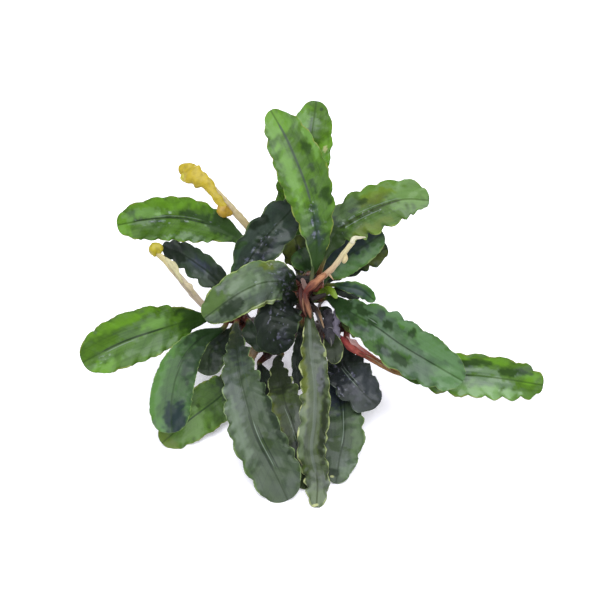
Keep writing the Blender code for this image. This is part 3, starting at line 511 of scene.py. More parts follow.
         midrib=((2.2, 9, 18), (2.8, 0, 17), (3.8, -9, 14.5), (3.7, -17, 11.5), (2.9, -25, 8),
             (4.3, -32.5, 3.4), (4.1, -39.4, 0.3)),
         tone="olive", rim=1.5, pitch=1.3, lobes=(0.7, 1.5), bites=((0.23, -1, 5, -1),), sheen=0.55,
         gloss=1.05, islands=0,
         marks=(("gloss", (0.955, 0, 4, 3), (0.55, 0.62, 9, 0.7), (0.32, -0.4, 7, 1.4), (0.6, 0.8, 8, 0.8),
             (0.92, 0, 5, 3.4)), ("deep", (0.4, -0.45, 4, 1), (0.64, -0.65, 9, 0.7)),
             ("light", (0.62, 0.75, 8, 0.7), (0.96, 0, 3, 3)), ("dull", (0.3, 0.85, 8, 0.6),
             (0.64, -0.6, 10, 0.9), (0.34, 0.85, 8, 0.8)), ("olive", (0.36, 0.75, 10, 0.9)),
             ("pale", (0.33, 0.99, 0.8, 0.3), (0.41, 0.99, 0.6, 0.25), (0.53, 1, 0.9, 0.3),
             (0.66, 0.99, 0.7, 0.3), (0.78, 1, 0.9, 0.35), (0.87, 0.99, 0.7, 0.3), (0.99, 0.3, 0.4, 0.8),
             (0.12, 1, 1.4, 0.3))),
         # This grey streak along the middle is a painted sheen
         streaks=(((0.085, 0.105, 0.08), (0.06, 0.05), (0.85, 0.02), 0.42),),
         stalk_tones=(RED, RUSSET, TAN)),
    Leaf("leaf_front_right_dark", "shoot_right", 280, 0.12, width=10.2, stalk=2.5,
         midrib=((10.4, -1.4, 6.6), (12.2, -5.5, 8.2), (15, -9.8, 8.2), (19.4, -14, 6.2)),
         tone="slate", pitch=1.4, lobes=(1.5, 1.9), gloss=0.75,
         marks=(("rough", (0.55, 0.2, 5, 2), (0.5, 0.6, 6, 2.5)), ("deep", (0.5, 0.5, 7, 2.6),
             (0.3, -0.7, 4, 1.4)), ("gloss", (0.75, -0.3, 5.5, 3.4)), ("dull", (0.35, -0.6, 4, 1.6))),
         streaks=((PAINTED_HIGHLIGHT_LINE, (0.4, 0.3), (0.76, 0), 0.1), (PAINTED_HIGHLIGHT_LINE, (0.4, 0.14), (0.72, -0.12), 0.08),
             (DARK_LINE, (0.4, 0.22), (0.75, -0.06), 0.14))),
    Leaf("leaf_front_right", "shoot_right", 234, 0.05, width=10.1, stalk=7, peak=0.55,
         midrib=((8.6, -5, 3.4), (10.2, -14, 4), (10.8, -21.7, 3.6), (9.8, -27.5, 1.7), (9, -33.4, 0.4)),
         tone="grey", rim=1.3, pitch=1.4, lobes=(1.5, 1.4), sheen=0.6, gloss=1, islands=0,
         marks=(("dull", (0.75, 0.35, 2.4, 1.3)), ("gloss", (0.87, -0.4, 3, 2)),
             ("deep dull", (0.93, 0.3, 1.3, 1.4)), ("light", (0.7, -0.8, 8, 1.5), (0.92, -0.7, 2, 2)),
             ("blue", (0.3, 0.3, 6, 2.4)), ("deep", (0.3, 0.2, 7, 3), (0.15, 0, 5, 4)),
             ("pale", (0.96, 0.42, 0.35, 0.5))),
         streaks=((PAINTED_HIGHLIGHT_LINE, (0.46, -0.1), (0.76, 0.05), 0.14), (DARK_LINE, (0.4, -0.2), (0.78, -0.03),
             0.11))),
    Leaf("leaf_small_round", "shoot_centre", 312, 0.42, width=4.6, stalk=10.5, ruffle=0.1,
         midrib=((6.2, 5, 12.5), (8.3, 1, 13.5), (8.7, -3.5, 12.2)),
         tone="olive", rim=1.3, lobes=(0.05, 0.05), bites=((0.06, 1, 2.2, 1.5), (0.06, -1, 2.2, 1.5)),
         sheen=0.1,
         marks=(("deep", (0.5, 0, 6, 3)),),
         stalk_tones=((0.08, 0.05, 0.04), (0.1, 0.085, 0.095), (0.03, 0.028, 0.024))),
    Leaf("leaf_small_centre", "shoot_centre", 0, 0.2, width=3.4, stalk=2, stalk_radius=0.45, ruffle=0.1,
         midrib=((6.1, 9.7, 9.3), (6.9, 8.3, 9.2)),
         tone="black", lobes=(0.1, 0.1), sheen=0.1),
    Leaf("leaf_small_green", "shoot_right", 10, 0.62, width=2.4, stalk=2, stalk_radius=0.45, ruffle=0.1,
         midrib=((13.4, 6, 9), (14.4, 3.4, 8.2)),
         lobes=(0.1, 0.1), sheen=0.2,
         stalk_tones=(STALK_GREEN,) * 3),
    Leaf("leaf_small_dark", "shoot_right", 25, 0.93, width=2.8, stalk=2, stalk_radius=0.45, ruffle=0.1,
         midrib=((12.3, 8.3, 11.3), (12.9, 6.3, 10.6)),
         tone="black", lobes=(0.1, 0.1), sheen=0.15,
         stalk_tones=(STALK_GREEN,) * 3),
    Leaf("leaf_left_back", "shoot_left", 115, 0.85, width=7, stalk=4.5, peak=0.4, ruffle=0.4, roll=10,
         midrib=((-18.2, 14.5, 14.5), (-20.2, 16.9, 16), (-24, 20.3, 17.5), (-29, 23.7, 17.5),
             (-34.4, 26, 16.5)),
         tone="dark", lobes=(1.6, 1.1), sheen=0.3, gloss=0.7, islands=0.5,
         marks=(("gloss", (0.54, -0.2, 6.5, 1.5)), ("dull", (0.85, -0.3, 4, 1.6), (0.2, 0.2, 4, 2.4)),
             ("deep", (0.85, -0.2, 4, 2.4), (0.26, 0.3, 4, 2)), ("blue", (0.5, 0.1, 3, 1.2)))),
    Leaf("leaf_inner_olive", "shoot_centre", 118, 0.62, width=8, stalk=4,
         midrib=((0.4, 21, 15), (-0.4, 25, 19), (-1.4, 28.6, 21.5)),
         tone="olive", lobes=(0.5, 0.5), sheen=0.2,
         marks=(("olive", (0.7, -0.3, 5, 2.4)), ("deep", (0.3, 0.3, 5, 3))),
         streaks=(((0.16, 0.14, 0.17), (0, 0.1), (0.8, 0.1), 0.45),)),
    Leaf("leaf_inner_green", "shoot_centre", 95, 0.78, width=6.6, stalk=2.5, ruffle=0.3,
         midrib=((2, 19.6, 18.6), (1.2, 22.4, 21), (-0.4, 25, 22.3)),
         lobes=(0.5, 0.5), sheen=0.15,
         marks=(("deep", (0.5, 0.2, 4, 2)),)),
    Leaf("leaf_young_curled", "shoot_centre", -10, 0.77, width=3.4, stalk=7, stalk_radius=0.5, ruffle=0.15,
         midrib=((7.2, 16.2, 18.8), (11.5, 15.9, 20.6), (15.5, 14.8, 20.3), (18.7, 12.2, 18)),
         lobes=(0.15, 0.15), gloss=0.8,
         marks=(("blue", (0.5, 0.2, 5, 1.2)), ("light", (0.5, -0.95, 7, 0.4), (0.92, 0, 1.6, 1.6))),
         stalk_tones=(STALK_GREEN, STALK_GREEN, STALK_GREEN)),
    Leaf("leaf_young_under", "shoot_centre", -6, 0.5, width=3.2, stalk=5, stalk_radius=0.5, ruffle=0.15,
         midrib=((7.6, 14.8, 14), (11.5, 14.6, 14.8), (15, 13.2, 13.5)),
         tone="black", sheen=0.15,
         stalk_tones=(STALK_GREEN, STALK_GREEN, STALK_GREEN)),
)

STALKS = (
    Stalk("stalk_bare", "shoot_centre", -6, 0.96,
          ((5.3, 17.9, 23), (8, 20.3, 25.6), (10.3, 23.2, 28), (12.2, 25.8, 30), (13.6, 27.4, 31)),
          half_widths=(1.27, 1.06, 0.807, 0.722, 0.68, 0.552),
          half_thicknesses=(0.9, 0.7, 0.5, 0.45, 0.4, 0.25),
          colours=((0.1, 0.016, 0.01), (0.3, 0.07, 0.032), (0.4, 0.22, 0.13), (0.46, 0.37, 0.22),
                   (0.46, 0.42, 0.22)),
          coverings=(
              Covering((0.52, 0.48, 0.34), ((12.9, 26.6, 30.8), (13.6, 27.9, 31.3), (16.6, 28.2, 31.5)),
                    (0.6, 0.5, 0.08), (0.3, 0.2, 0.08), 0.1),
              Covering((0.42, 0.34, 0.17), ((10.6, 21.8, 28.4), (11.3, 22.5, 28.8), (11.6, 24, 29.2)),
                    (0.5, 0.7, 0.3), (0.3, 0.25, 0.2), 0.1),
              Covering((0.4, 0.26, 0.15), ((7.3, 18.9, 25.2), (8, 18, 25.3), (8.4, 17.4, 25.2)),
                    (0.35, 0.2, 0.05), (0.3, 0.2, 0.05), 0),
          )),
    Stalk("leaf_yellow_upper", "shoot_centre", 150, 0.5,
          ((-7, 22, 17), (-12.5, 30.2, 24.5), (-17.3, 35.6, 29), (-22.6, 41.2, 33), (-27, 45, 34.5),
           (-30, 45, 34)),
          half_widths=(0.8, 0.8, 0.85, 0.95, 0.95, 0.8, 0.6),
          half_thicknesses=(0.7, 0.6, 0.6, 0.6, 0.6, 0.5, 0.4),
          colours=((0.2, 0.06, 0.025), (0.34, 0.18, 0.08), (0.36, 0.28, 0.13), (0.42, 0.35, 0.2),
                   (0.4, 0.3, 0.1)),
          coverings=(
              Covering((0.37, 0.275, 0.004), ((-30.4, 44.8, 33.7), (-28.6, 45.2, 34.4), (-26.6, 43.8, 34.6),
                    (-24.8, 42.6, 34.2), (-23, 41.2, 33.6), (-21.6, 39.4, 32.6), (-20.2, 37.2, 31.2),
                    (-18.6, 35.4, 30)), (0.9, 2.1, 2.4, 2.1, 1.5, 1.1, 1.1, 0.7),
                    (0.5, 0.9, 1.2, 1, 0.7, 0.5, 0.4, 0.3), 0.14),
              Covering((0.4, 0.36, 0.03), ((-29.8, 43.6, 33.4), (-28.4, 43, 33.4), (-26.8, 42.6, 33.2)),
                    (0.8, 1.3, 0.8), (0.5, 0.7, 0.5), 0.1),
              Covering((0.33, 0.2, 0.01), ((-20.2, 36.6, 30.4), (-19.4, 35, 29.8), (-18.2, 34.4, 29.2),
                    (-16.8, 34, 28.6)), (0.4, 1.5, 1.3, 0.4), (0.3, 0.5, 0.4, 0.2), 0.1),
          )),
    Stalk("leaf_yellow_lower", "shoot_left", 156, 0.92,
          ((-20.6, 10.4, 12.6), (-24.4, 11.5, 15.4), (-30.5, 18.6, 21.5), (-33.9, 22.5, 24.3),
           (-36.8, 25, 25.6)),
          half_widths=(0.6, 0.7, 0.85, 0.9, 0.8, 0.6), half_thicknesses=(0.5, 0.5, 0.5, 0.45, 0.45, 0.4),
          colours=((0.12, 0.05, 0.035), (0.22, 0.12, 0.07), (0.38, 0.3, 0.21), (0.46, 0.39, 0.28),
                   (0.4, 0.34, 0.12)),
          coverings=(
              Covering((0.34, 0.28, 0.005), ((-37.8, 24.6, 25.4), (-36.9, 24.9, 25.7), (-35.6, 25, 25.8),
                    (-34.7, 24.2, 25.4)), (0.8, 1.6, 1.5, 0.6), (0.6, 1.1, 0.9, 0.4), 0.1),
              Covering((0.42, 0.38, 0.2), ((-33.9, 23.2, 24.9), (-31.7, 21, 23.8), (-30.3, 18.6, 22.3),
                    (-29.3, 16.6, 20.8)), (0.3, 0.9, 0.6, 0.2), (0.15, 0.15, 0.15, 0.1), 0.12),
              Covering((0.4, 0.33, 0.2), ((-29.4, 17.2, 21.2), (-27.2, 15.4, 20), (-26.2, 13.6, 18.6)),
                    (0.2, 0.8, 0.2), (0.15, 0.2, 0.1), 0.12),
          )),
    Stalk("sheath_green", "shoot_centre", -60, 0.8,
          ((5.4, 14.3, 17.4), (7.6, 14.8, 19.8), (9.3, 12.9, 20)),
          half_widths=(0.4, 0.5, 0.95, 1.05, 0.4), half_thicknesses=(0.3, 0.25, 0.2, 0.15, 0.1),
          # Its first two colours, near black, paint the shade round its foot
          colours=((0.01, 0.01, 0.004), (0.02, 0.024, 0.005), (0.1, 0.17, 0.008), (0.115, 0.195, 0.006),
                   (0.13, 0.21, 0.012))),
    Stalk("sheath_right", "shoot_centre", 292, 0.66,
          ((4.6, 9.6, 14.6), (5.3, 7.6, 15), (6, 5.4, 14.8)),
          half_widths=(0.5, 0.45, 0.4, 0.12), half_thicknesses=(0.25, 0.2, 0.15, 0.08),
          colours=((0.012, 0.008, 0.006), (0.016, 0.01, 0.007), (0.03, 0.016, 0.01), (0.2, 0.12, 0.06),
                   (0.26, 0.16, 0.09))),
    Stalk("sheath_front", "shoot_front", 200, 0.45,
          ((-12.2, -1.8, 4.4), (-12.6, -3.2, 4.8)),
          half_widths=(1, 1.25, 0.9), half_thicknesses=(0.7, 0.8, 0.5),
          colours=((0.2, 0.09, 0.04), (0.34, 0.2, 0.1), (0.44, 0.3, 0.16), (0.4, 0.26, 0.13),
                   (0.36, 0.22, 0.1))),
)

RHIZOME_LINE = ((-17.0, 6.3, 1.8), (-11.0, 5.8, 1.8), (-5.0, 5.6, 1.8), (1.0, 5.3, 1.8), (5.5, 4.1, 1.8),
                (8.8, 2.1, 1.8))
ROOTS = {
    "root_back_left": ((-9.0, 3.2, 1.6), (-10.5, 6.5, 0.8), (-9.5, 11.0, 0.6), (-12.0, 15.0, 0.6)),
    "root_back": ((-3.0, 3.0, 1.6), (-2.0, 6.5, 0.8), (-4.0, 11.5, 0.6), (-2.5, 16.0, 0.6)),
    "root_back_right": ((4.2, 2.0, 1.6), (5.5, 5.0, 0.8), (5.0, 9.5, 0.6), (8.0, 13.0, 0.6)),
}


def seen_at(right, up, height):
    """The point at this height that is seen at (right, up), in millimetres."""
    through = VIEW_ANCHOR + right * VIEW_RIGHT + up * VIEW_UP
    share = (height - EYE[2]) / (through[2] - EYE[2])
    return EYE + share * (through - EYE)


def unit(vectors):
    return vectors / np.linalg.norm(vectors, axis=-1, keepdims=True)


def smooth_line(points):
    """A Catmull-Rom curve through the points."""
    points = np.asarray(points, float)
    padded = np.vstack([2 * points[0] - points[1], points, 2 * points[-1] - points[-2]])
    line = []
    for a, b, c, d in zip(padded, padded[1:], padded[2:], padded[3:]):
        slope = (c - a) / 2
        bend = a - 2.5 * b + 2 * c - d / 2
        turn = (d - a) / 2 + 1.5 * (b - c)
        for t in np.arange(CURVE_STEPS) / CURVE_STEPS:
            line.append(b + t * (slope + t * (bend + t * turn)))
    line.append(points[-1])
    return np.array(line)


def seen_line(points):
    """The smooth line through points given as they are seen."""
    return smooth_line([seen_at(*point) for point in points])


def runs_along(line):
    """How far along the line each of its points is."""
    return np.concatenate([[0.0], np.cumsum(np.linalg.norm(np.diff(line, axis=0), axis=1))])


def at_runs(line, wanted):
    """The points and unit tangents of a line at the wanted distances, also straight on before its start."""
    runs = runs_along(line)
    points = np.column_stack([np.interp(wanted, runs, line[:, k]) for k in range(3)])
    slope = np.gradient(line, runs, axis=0)
    tangents = unit(np.column_stack([np.interp(wanted, runs, slope[:, k]) for k in range(3)]))
    return points + np.minimum(0.0, wanted)[:, None] * tangents, tangents


def line_from_shoot(piece, seen_points):
    """The line of a piece: it leaves its shoot sideways, turns up, and goes through the seen points."""
    shoot = next(s for s in SHOOTS if s.name == piece.shoot)
    axis = seen_line(shoot.axis)
    centres, tangents = at_runs(axis, np.array([piece.level * runs_along(axis)[-1]]))
    side = math.radians(piece.side)
    sideways = np.array([math.cos(side), math.sin(side), 0.0])
    out = unit(sideways - np.dot(sideways, tangents[0]) * tangents[0])
    foot = centres[0] + (shoot.radius * np.interp(piece.level, *SHOOT_TAPER) + JOINT_GAP) * out
    heel = foot + HEEL_LENGTH * out
    knee = heel + KNEE_LENGTH * unit(out + KNEE_RISE * tangents[0])
    return smooth_line([foot, heel, knee] + [seen_at(*point) for point in seen_points])


def leaf_line(leaf):
    """A leaf's line from its shoot to its tip, and how long its blade is."""
    line = line_from_shoot(leaf, leaf.midrib)
    return line, runs_along(line)[-1] - leaf.stalk


def smoothstep(low, high, value):
    t = np.clip((value - low) / (high - low), 0, 1)
    return t * t * (3 - 2 * t)


def ripples(rng, x, y, shortest, longest, count=14):
    """Smooth noise over a surface, about 1 high: plane waves of random headings."""
    total = np.zeros(np.broadcast(x, y).shape)
    for _ in range(count):
        length = rng.uniform(shortest, longest)
        heading = rng.uniform(0, math.pi)
        phase = rng.uniform(0, 2 * math.pi)
        total += np.sin(2 * math.pi / length * (x * math.cos(heading) + y * math.sin(heading)) + phase)
    return total * math.sqrt(2 / count)


def half_width(leaf, share):
    """The blade's half width at a share of its length: it swells from the stalk to a round tip."""
    start = leaf.stalk_radius / (leaf.width / 2)
    swell = start + (1 - start) * np.sin(np.minimum(share / leaf.peak, 1) * math.pi / 2) ** SWELL_POWER
    past = np.maximum(0.0, share - leaf.peak) / (1 - leaf.peak)
    return leaf.width / 2 * swell * np.maximum(0.0, 1 - past**leaf.blunt) ** (1 / leaf.blunt)


def margin_lobes(rng, length, along, pitch):
    """The scallops of one margin: how far each place is into a lobe, 0 at a notch, and that lobe's size."""
    count = int(length / LOBE_PITCHES[0]) + SPARE_LOBES
    notches = pitch * np.cumsum(rng.uniform(*LOBE_PITCHES, count)) - LOBE_START
    sizes = rng.uniform(*LOBE_SIZES, len(notches))
    place = np.interp(along, notches, np.arange(len(notches)))
    size = np.interp(place, np.arange(len(notches)) + 0.5, sizes)
    return np.abs(np.sin(math.pi * place)), size


def leaf_margin(leaf, rng, x, s, half, blade):
    """The wave of a blade's ruffles, and how far its margin stands out.

    Each side has its own lobes, and each lobe's wave runs inwards along the side veins.
    """
    towards_margin = x + VEIN_SLOPE * half * (1 - np.abs(s))
    wave = np.zeros(towards_margin.shape)
    outline = np.zeros(towards_margin.shape)
    for side in (-1, 1):
        lobe, size = margin_lobes(rng, blade, towards_margin, leaf.pitch)
        rim = slice(-1, None) if side > 0 else slice(0, 1)
        here = np.broadcast_to(s * side > 0, wave.shape)
        wave = np.where(here, (2 * lobe - 1) * size, wave)
        depth = leaf.lobes[side > 0] * LOBE_DEPTH
        outline = np.where(here, (lobe[:, rim] - LOBE_LEVEL) * size[:, rim] * depth, outline)
    outline = outline + FRAY * ripples(rng, x, MARGINS_APART * np.sign(s), *FRAY_LENGTHS)
    for along, side, length, depth in leaf.bites:
        outline = outline - depth * np.exp(-(((x - along * blade) / length) ** 2)) * (s * side > 0)
    return wave, outline


def patches(leaf, kind, x, y, blade, noise):
    """Where a leaf's marks of one kind are, from 0 to 1, with wandering edges."""
    found = np.zeros(y.shape)
    soft = MARKS[kind]
    for kinds, *places in leaf.marks:
        for along, across, length, width in places if kind in kinds else ():
            middle = across * float(half_width(leaf, np.array(along)))
            away = np.hypot((x - along * blade) / length, (y - middle) / width)
            found = np.maximum(found, smoothstep(soft, -soft, away - 1 + PATCH_WANDER * noise))
    return found


def leaf_sheen(leaf, rng, x, y, share, blade, from_margin, ragged):
    """How strong a leaf's painted sheen is: broken by islands, faint at the rim and foot, strong in patches.
    """
    patchy = ripples(rng, x, y, *ISLAND_LENGTHS)
    islands = smoothstep(0.05, -0.05, patchy * 0.45 + ragged * 0.15 + 1.1 * (0.5 - leaf.islands) + 0.35)
    sheen = leaf.sheen * (1 - islands) * (0.85 + 0.15 * ripples(rng, x, y, *SHEEN_LENGTHS))
    sheen = sheen * smoothstep(-0.3, 1.2, from_margin + 0.4 * ragged)
    sheen = sheen * (0.25 + 0.75 * smoothstep(0, 0.3, share))
    sheen = np.maximum(sheen, leaf.gloss * patches(leaf, "gloss", x, y, blade, ragged))
    return sheen * (1 - patches(leaf, "dull", x, y, blade, ragged))


def leaf_surface(leaf, rng):
    """Rings of points round a fine leaf, and for each point what the leaf's material reads there."""
    line, blade = leaf_line(leaf)
    stalk_runs = np.linspace(-BURIED, leaf.stalk, round((leaf.stalk + BURIED) / ROW_PITCH) + 1)[:-1]
    steps = np.linspace(0, 1, round(TIP_ROWS * blade / ROW_PITCH) + 1)
    runs = np.concatenate([stalk_runs, leaf.stalk + blade * TIP_SHARE * (1 - (1 - steps) ** TIP_CROWDING)])
    points, tangents = at_runs(line, runs)
    x = (runs - leaf.stalk)[:, None]
    share = np.clip(x / blade, 0, 1)
    s = np.sin(np.linspace(-math.pi / 2, math.pi / 2, COLUMNS))[None, :]
    half = half_width(leaf, share)
    blade_in = np.clip(share / BLADE_RUN_IN, 0, 1)
    fullness = blade_in * np.clip((1 - share) / RUFFLE_END, 0, 1)
    lean = 1 + leaf.lean * blade_in * np.sign(s)
    y = s * half * lean
    wave, outline = leaf_margin(leaf, rng, x, s, half, blade)
    reach = y + s * np.abs(s) ** 2 * (outline * fullness)

    # Relief of the face: cupping, ruffles that fade inwards, puckers between the side veins, and crinkles
    crinkles = ripples(rng, x, y, *CRINKLE_LENGTHS)
    vein = (x - VEIN_SLOPE * np.abs(y) - VEIN_BEND * y**2) / VEIN_PITCH
    puckers = np.cos(2 * math.pi * vein) * (1 - np.abs(s)) ** 0.5 * np.abs(s) ** 0.5
    rough = patches(leaf, "rough", x, y, blade, crinkles)
    lift = leaf.cup * half * s**2 * blade_in
    lift = lift + RUFFLE_SHARE * leaf.ruffle * fullness * wave * np.abs(s) ** RUFFLE_REACH
    knobs = ROUGH_RISE * rough * ripples(rng, x, y, *ROUGH_LENGTHS)
    lift = lift + fullness * (CRINKLE * crinkles + PUCKER * puckers + knobs)

    # Thickness: round in the stalk, thin in the blade with a keel beneath and a groove above
    round_part = leaf.stalk_radius * np.sqrt(1 - s**2)
    thin = BLADE_HALF_THICKNESS * np.sqrt(1 - np.abs(s) ** 6)
    keel = leaf.stalk_radius * (KEEL_START - share) * np.exp(-((y / KEEL_WIDTH) ** 2))
    groove = GROOVE_DEPTH * blade_in * np.exp(-((y / GROOVE_WIDTH) ** 2))
    groove = groove * np.clip((1 - share) / GROOVE_END, 0, 1)
    into_blade = smoothstep(0.0, 0.6, blade_in)
    upper = round_part + (thin - groove - round_part) * into_blade
    lower = round_part + (thin + keel - round_part) * into_blade
    from_foot = np.maximum(0, runs + BURIED)[:, None]
    flare = 1 + leaf.sheathing * np.exp(-from_foot / (FOOT_LENGTH + SHEATH_LENGTH * leaf.sheathing))

    roll = math.radians(leaf.roll)
    level_across = unit(np.cross(tangents, TOWARDS_VIEWER))
    level_face = np.cross(level_across, tangents)
    across = level_across * math.cos(roll) + level_face * math.sin(roll)
    face = np.cross(across, tangents)

    def place(height):
        spread = (reach * flare)[..., None] * across[:, None, :]
        return points[:, None, :] + spread + (lift + height)[..., None] * face[:, None, :]

    ring = np.concatenate([place(upper), place(-lower)[:, -2:0:-1]], axis=1)

    # What the material reads: the stalk counts as far from any edge
    ragged = ripples(rng, x, y, *RAGGED_LENGTHS)
    from_margin = np.maximum(0, half * lean - np.abs(y))
    crest = wave * np.abs(s) ** 2.5 * fullness
    sheen = leaf_sheen(leaf, rng, x, y, share, blade, from_margin, ragged)
    # Painted sheen: stronger on the ruffles' crests, weaker in their troughs, and none at the foot of the
    # blade
    sheen = sheen * (1 + 0.5 * np.clip(crest, -1, 1)) * smoothstep(0, 4, x)
    readings = {
        "run": runs[:, None],
        "across_mm": y,
        "edge": from_margin * into_blade + NO_EDGE * (1 - into_blade),
        "share": share,
        "bare": smoothstep(1.3, -0.6, x + 0.6 * np.abs(y)),
        "sheen": sheen,
        "crest": crest,
        "vein": vein,
        "rough": rough,
    }
    for kind in ("deep", "light", "olive", "blue", "pale"):
        readings[kind] = patches(leaf, kind, x, y, blade, ragged)
    for name, values in readings.items():
        values = np.broadcast_to(values, y.shape)
        readings[name] = np.concatenate([values, values[:, -2:0:-1]], axis=1)
    readings["under"] = np.concatenate([np.zeros_like(y), np.ones_like(y[:, -2:0:-1])], axis=1)
    return ring, readings


def tube(line, wide, thick, facing, rng, lumps=0.0, lump_lengths=(1.2, 3.0), sides=28, pitch=0.3, rings=0.0):
    """Rings of points round a stem, stalk or strip. wide and thick are its half sizes along it."""
    total = runs_along(line)[-1]
    runs = np.linspace(0, total, max(8, round(total / pitch)) + 1)
    points, tangents = at_runs(line, runs)
    across = unit(np.cross(tangents, facing))
    over = np.cross(across, tangents)
    angles = 2 * math.pi * np.arange(sides) / sides
    share = runs / total
    half_wide = np.interp(share, np.linspace(0, 1, len(wide)), wide)[:, None]
    half_thick = np.interp(share, np.linspace(0, 1, len(thick)), thick)[:, None]
    from_end = np.minimum(share, 1 - share) * total
    closing = np.sqrt(np.clip(1 - (1 - from_end / END_ROUND).clip(0) ** 2, 0.03, 1))[:, None]
    noise = sum(
        ripples(rng, runs[:, None], TURN_SCALE * edge, *lump_lengths, count=5)
        for edge in (np.cos(angles)[None, :], np.sin(angles)[None, :])
    )
    scars = smoothstep(SCAR_WIDTH, 0.0, np.abs((runs / SCAR_PITCH) % 1 - 0.5))[:, None]
    swell = closing * (1 + lumps * noise / math.sqrt(2)) * (1 - rings * scars)
    wide_part = (half_wide * swell * np.cos(angles))[..., None] * across[:, None, :]
    thick_part = (half_thick * swell * np.sin(angles))[..., None] * over[:, None, :]
    ring = points[:, None, :] + wide_part - thick_part
    readings = {"run": runs[:, None], "share": share[:, None], "turn": TURN_SCALE * angles[None, :]}
    return ring, {name: np.broadcast_to(values, ring.shape[:2]) for name, values in readings.items()}


def with_coverings(skin, strips, rng):
    """The skin and those of the strips on it, each with its number as its coverings reading."""
    skins = [skin]
    for strip in strips:
        skins.append(tube(seen_line(strip.line), strip.half_widths, strip.half_thicknesses, TOWARDS_VIEWER,
                          rng, strip.lumps, COVERING_LUMP_LENGTHS, pitch=COVERING_PITCH))
    for place, (_, readings) in enumerate(skins):
        readings["coverings"] = np.full(readings["run"].shape, float(place))
    return skins


def put_over(node, material, *skins):
    """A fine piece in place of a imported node: closed skins, each of rings of points with their readings.

    Each reading becomes a float attribute of the mesh.
    """
    name = f"{node}_fine"
    points, faces, readings = [], [], {}
    for ring, found in skins:
        rows, count = ring.shape[:2]
        index = np.arange(rows * count).reshape(rows, count) + sum(len(p) for p in points)
        a, b = index[:-1], np.roll(index, -1, axis=1)[:-1]
        c, d = np.roll(index, -1, axis=1)[1:], index[1:]
        faces += np.stack([a, b, c, d], axis=-1).reshape(-1, 4).tolist()
        faces += [index[0, ::-1].tolist(), index[-1].tolist()]
        points.append(ring.reshape(-1, 3))
        for key, values in found.items():
            readings.setdefault(key, []).append(values.ravel())
    mesh = bpy.data.meshes.new(name)
    mesh.from_pydata((np.concatenate(points) * MM).tolist(), [], faces)
    mesh.shade_smooth()
    for key, values in readings.items():
        data = mesh.attributes.new(key, "FLOAT", "POINT").data
        data.foreach_set("value", np.concatenate(values).astype(np.float32))
    mesh.materials.append(material)
    piece = bpy.data.objects.new(name, mesh)
    bpy.context.scene.collection.objects.link(piece)
    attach(piece, BODY)
    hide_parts(node)


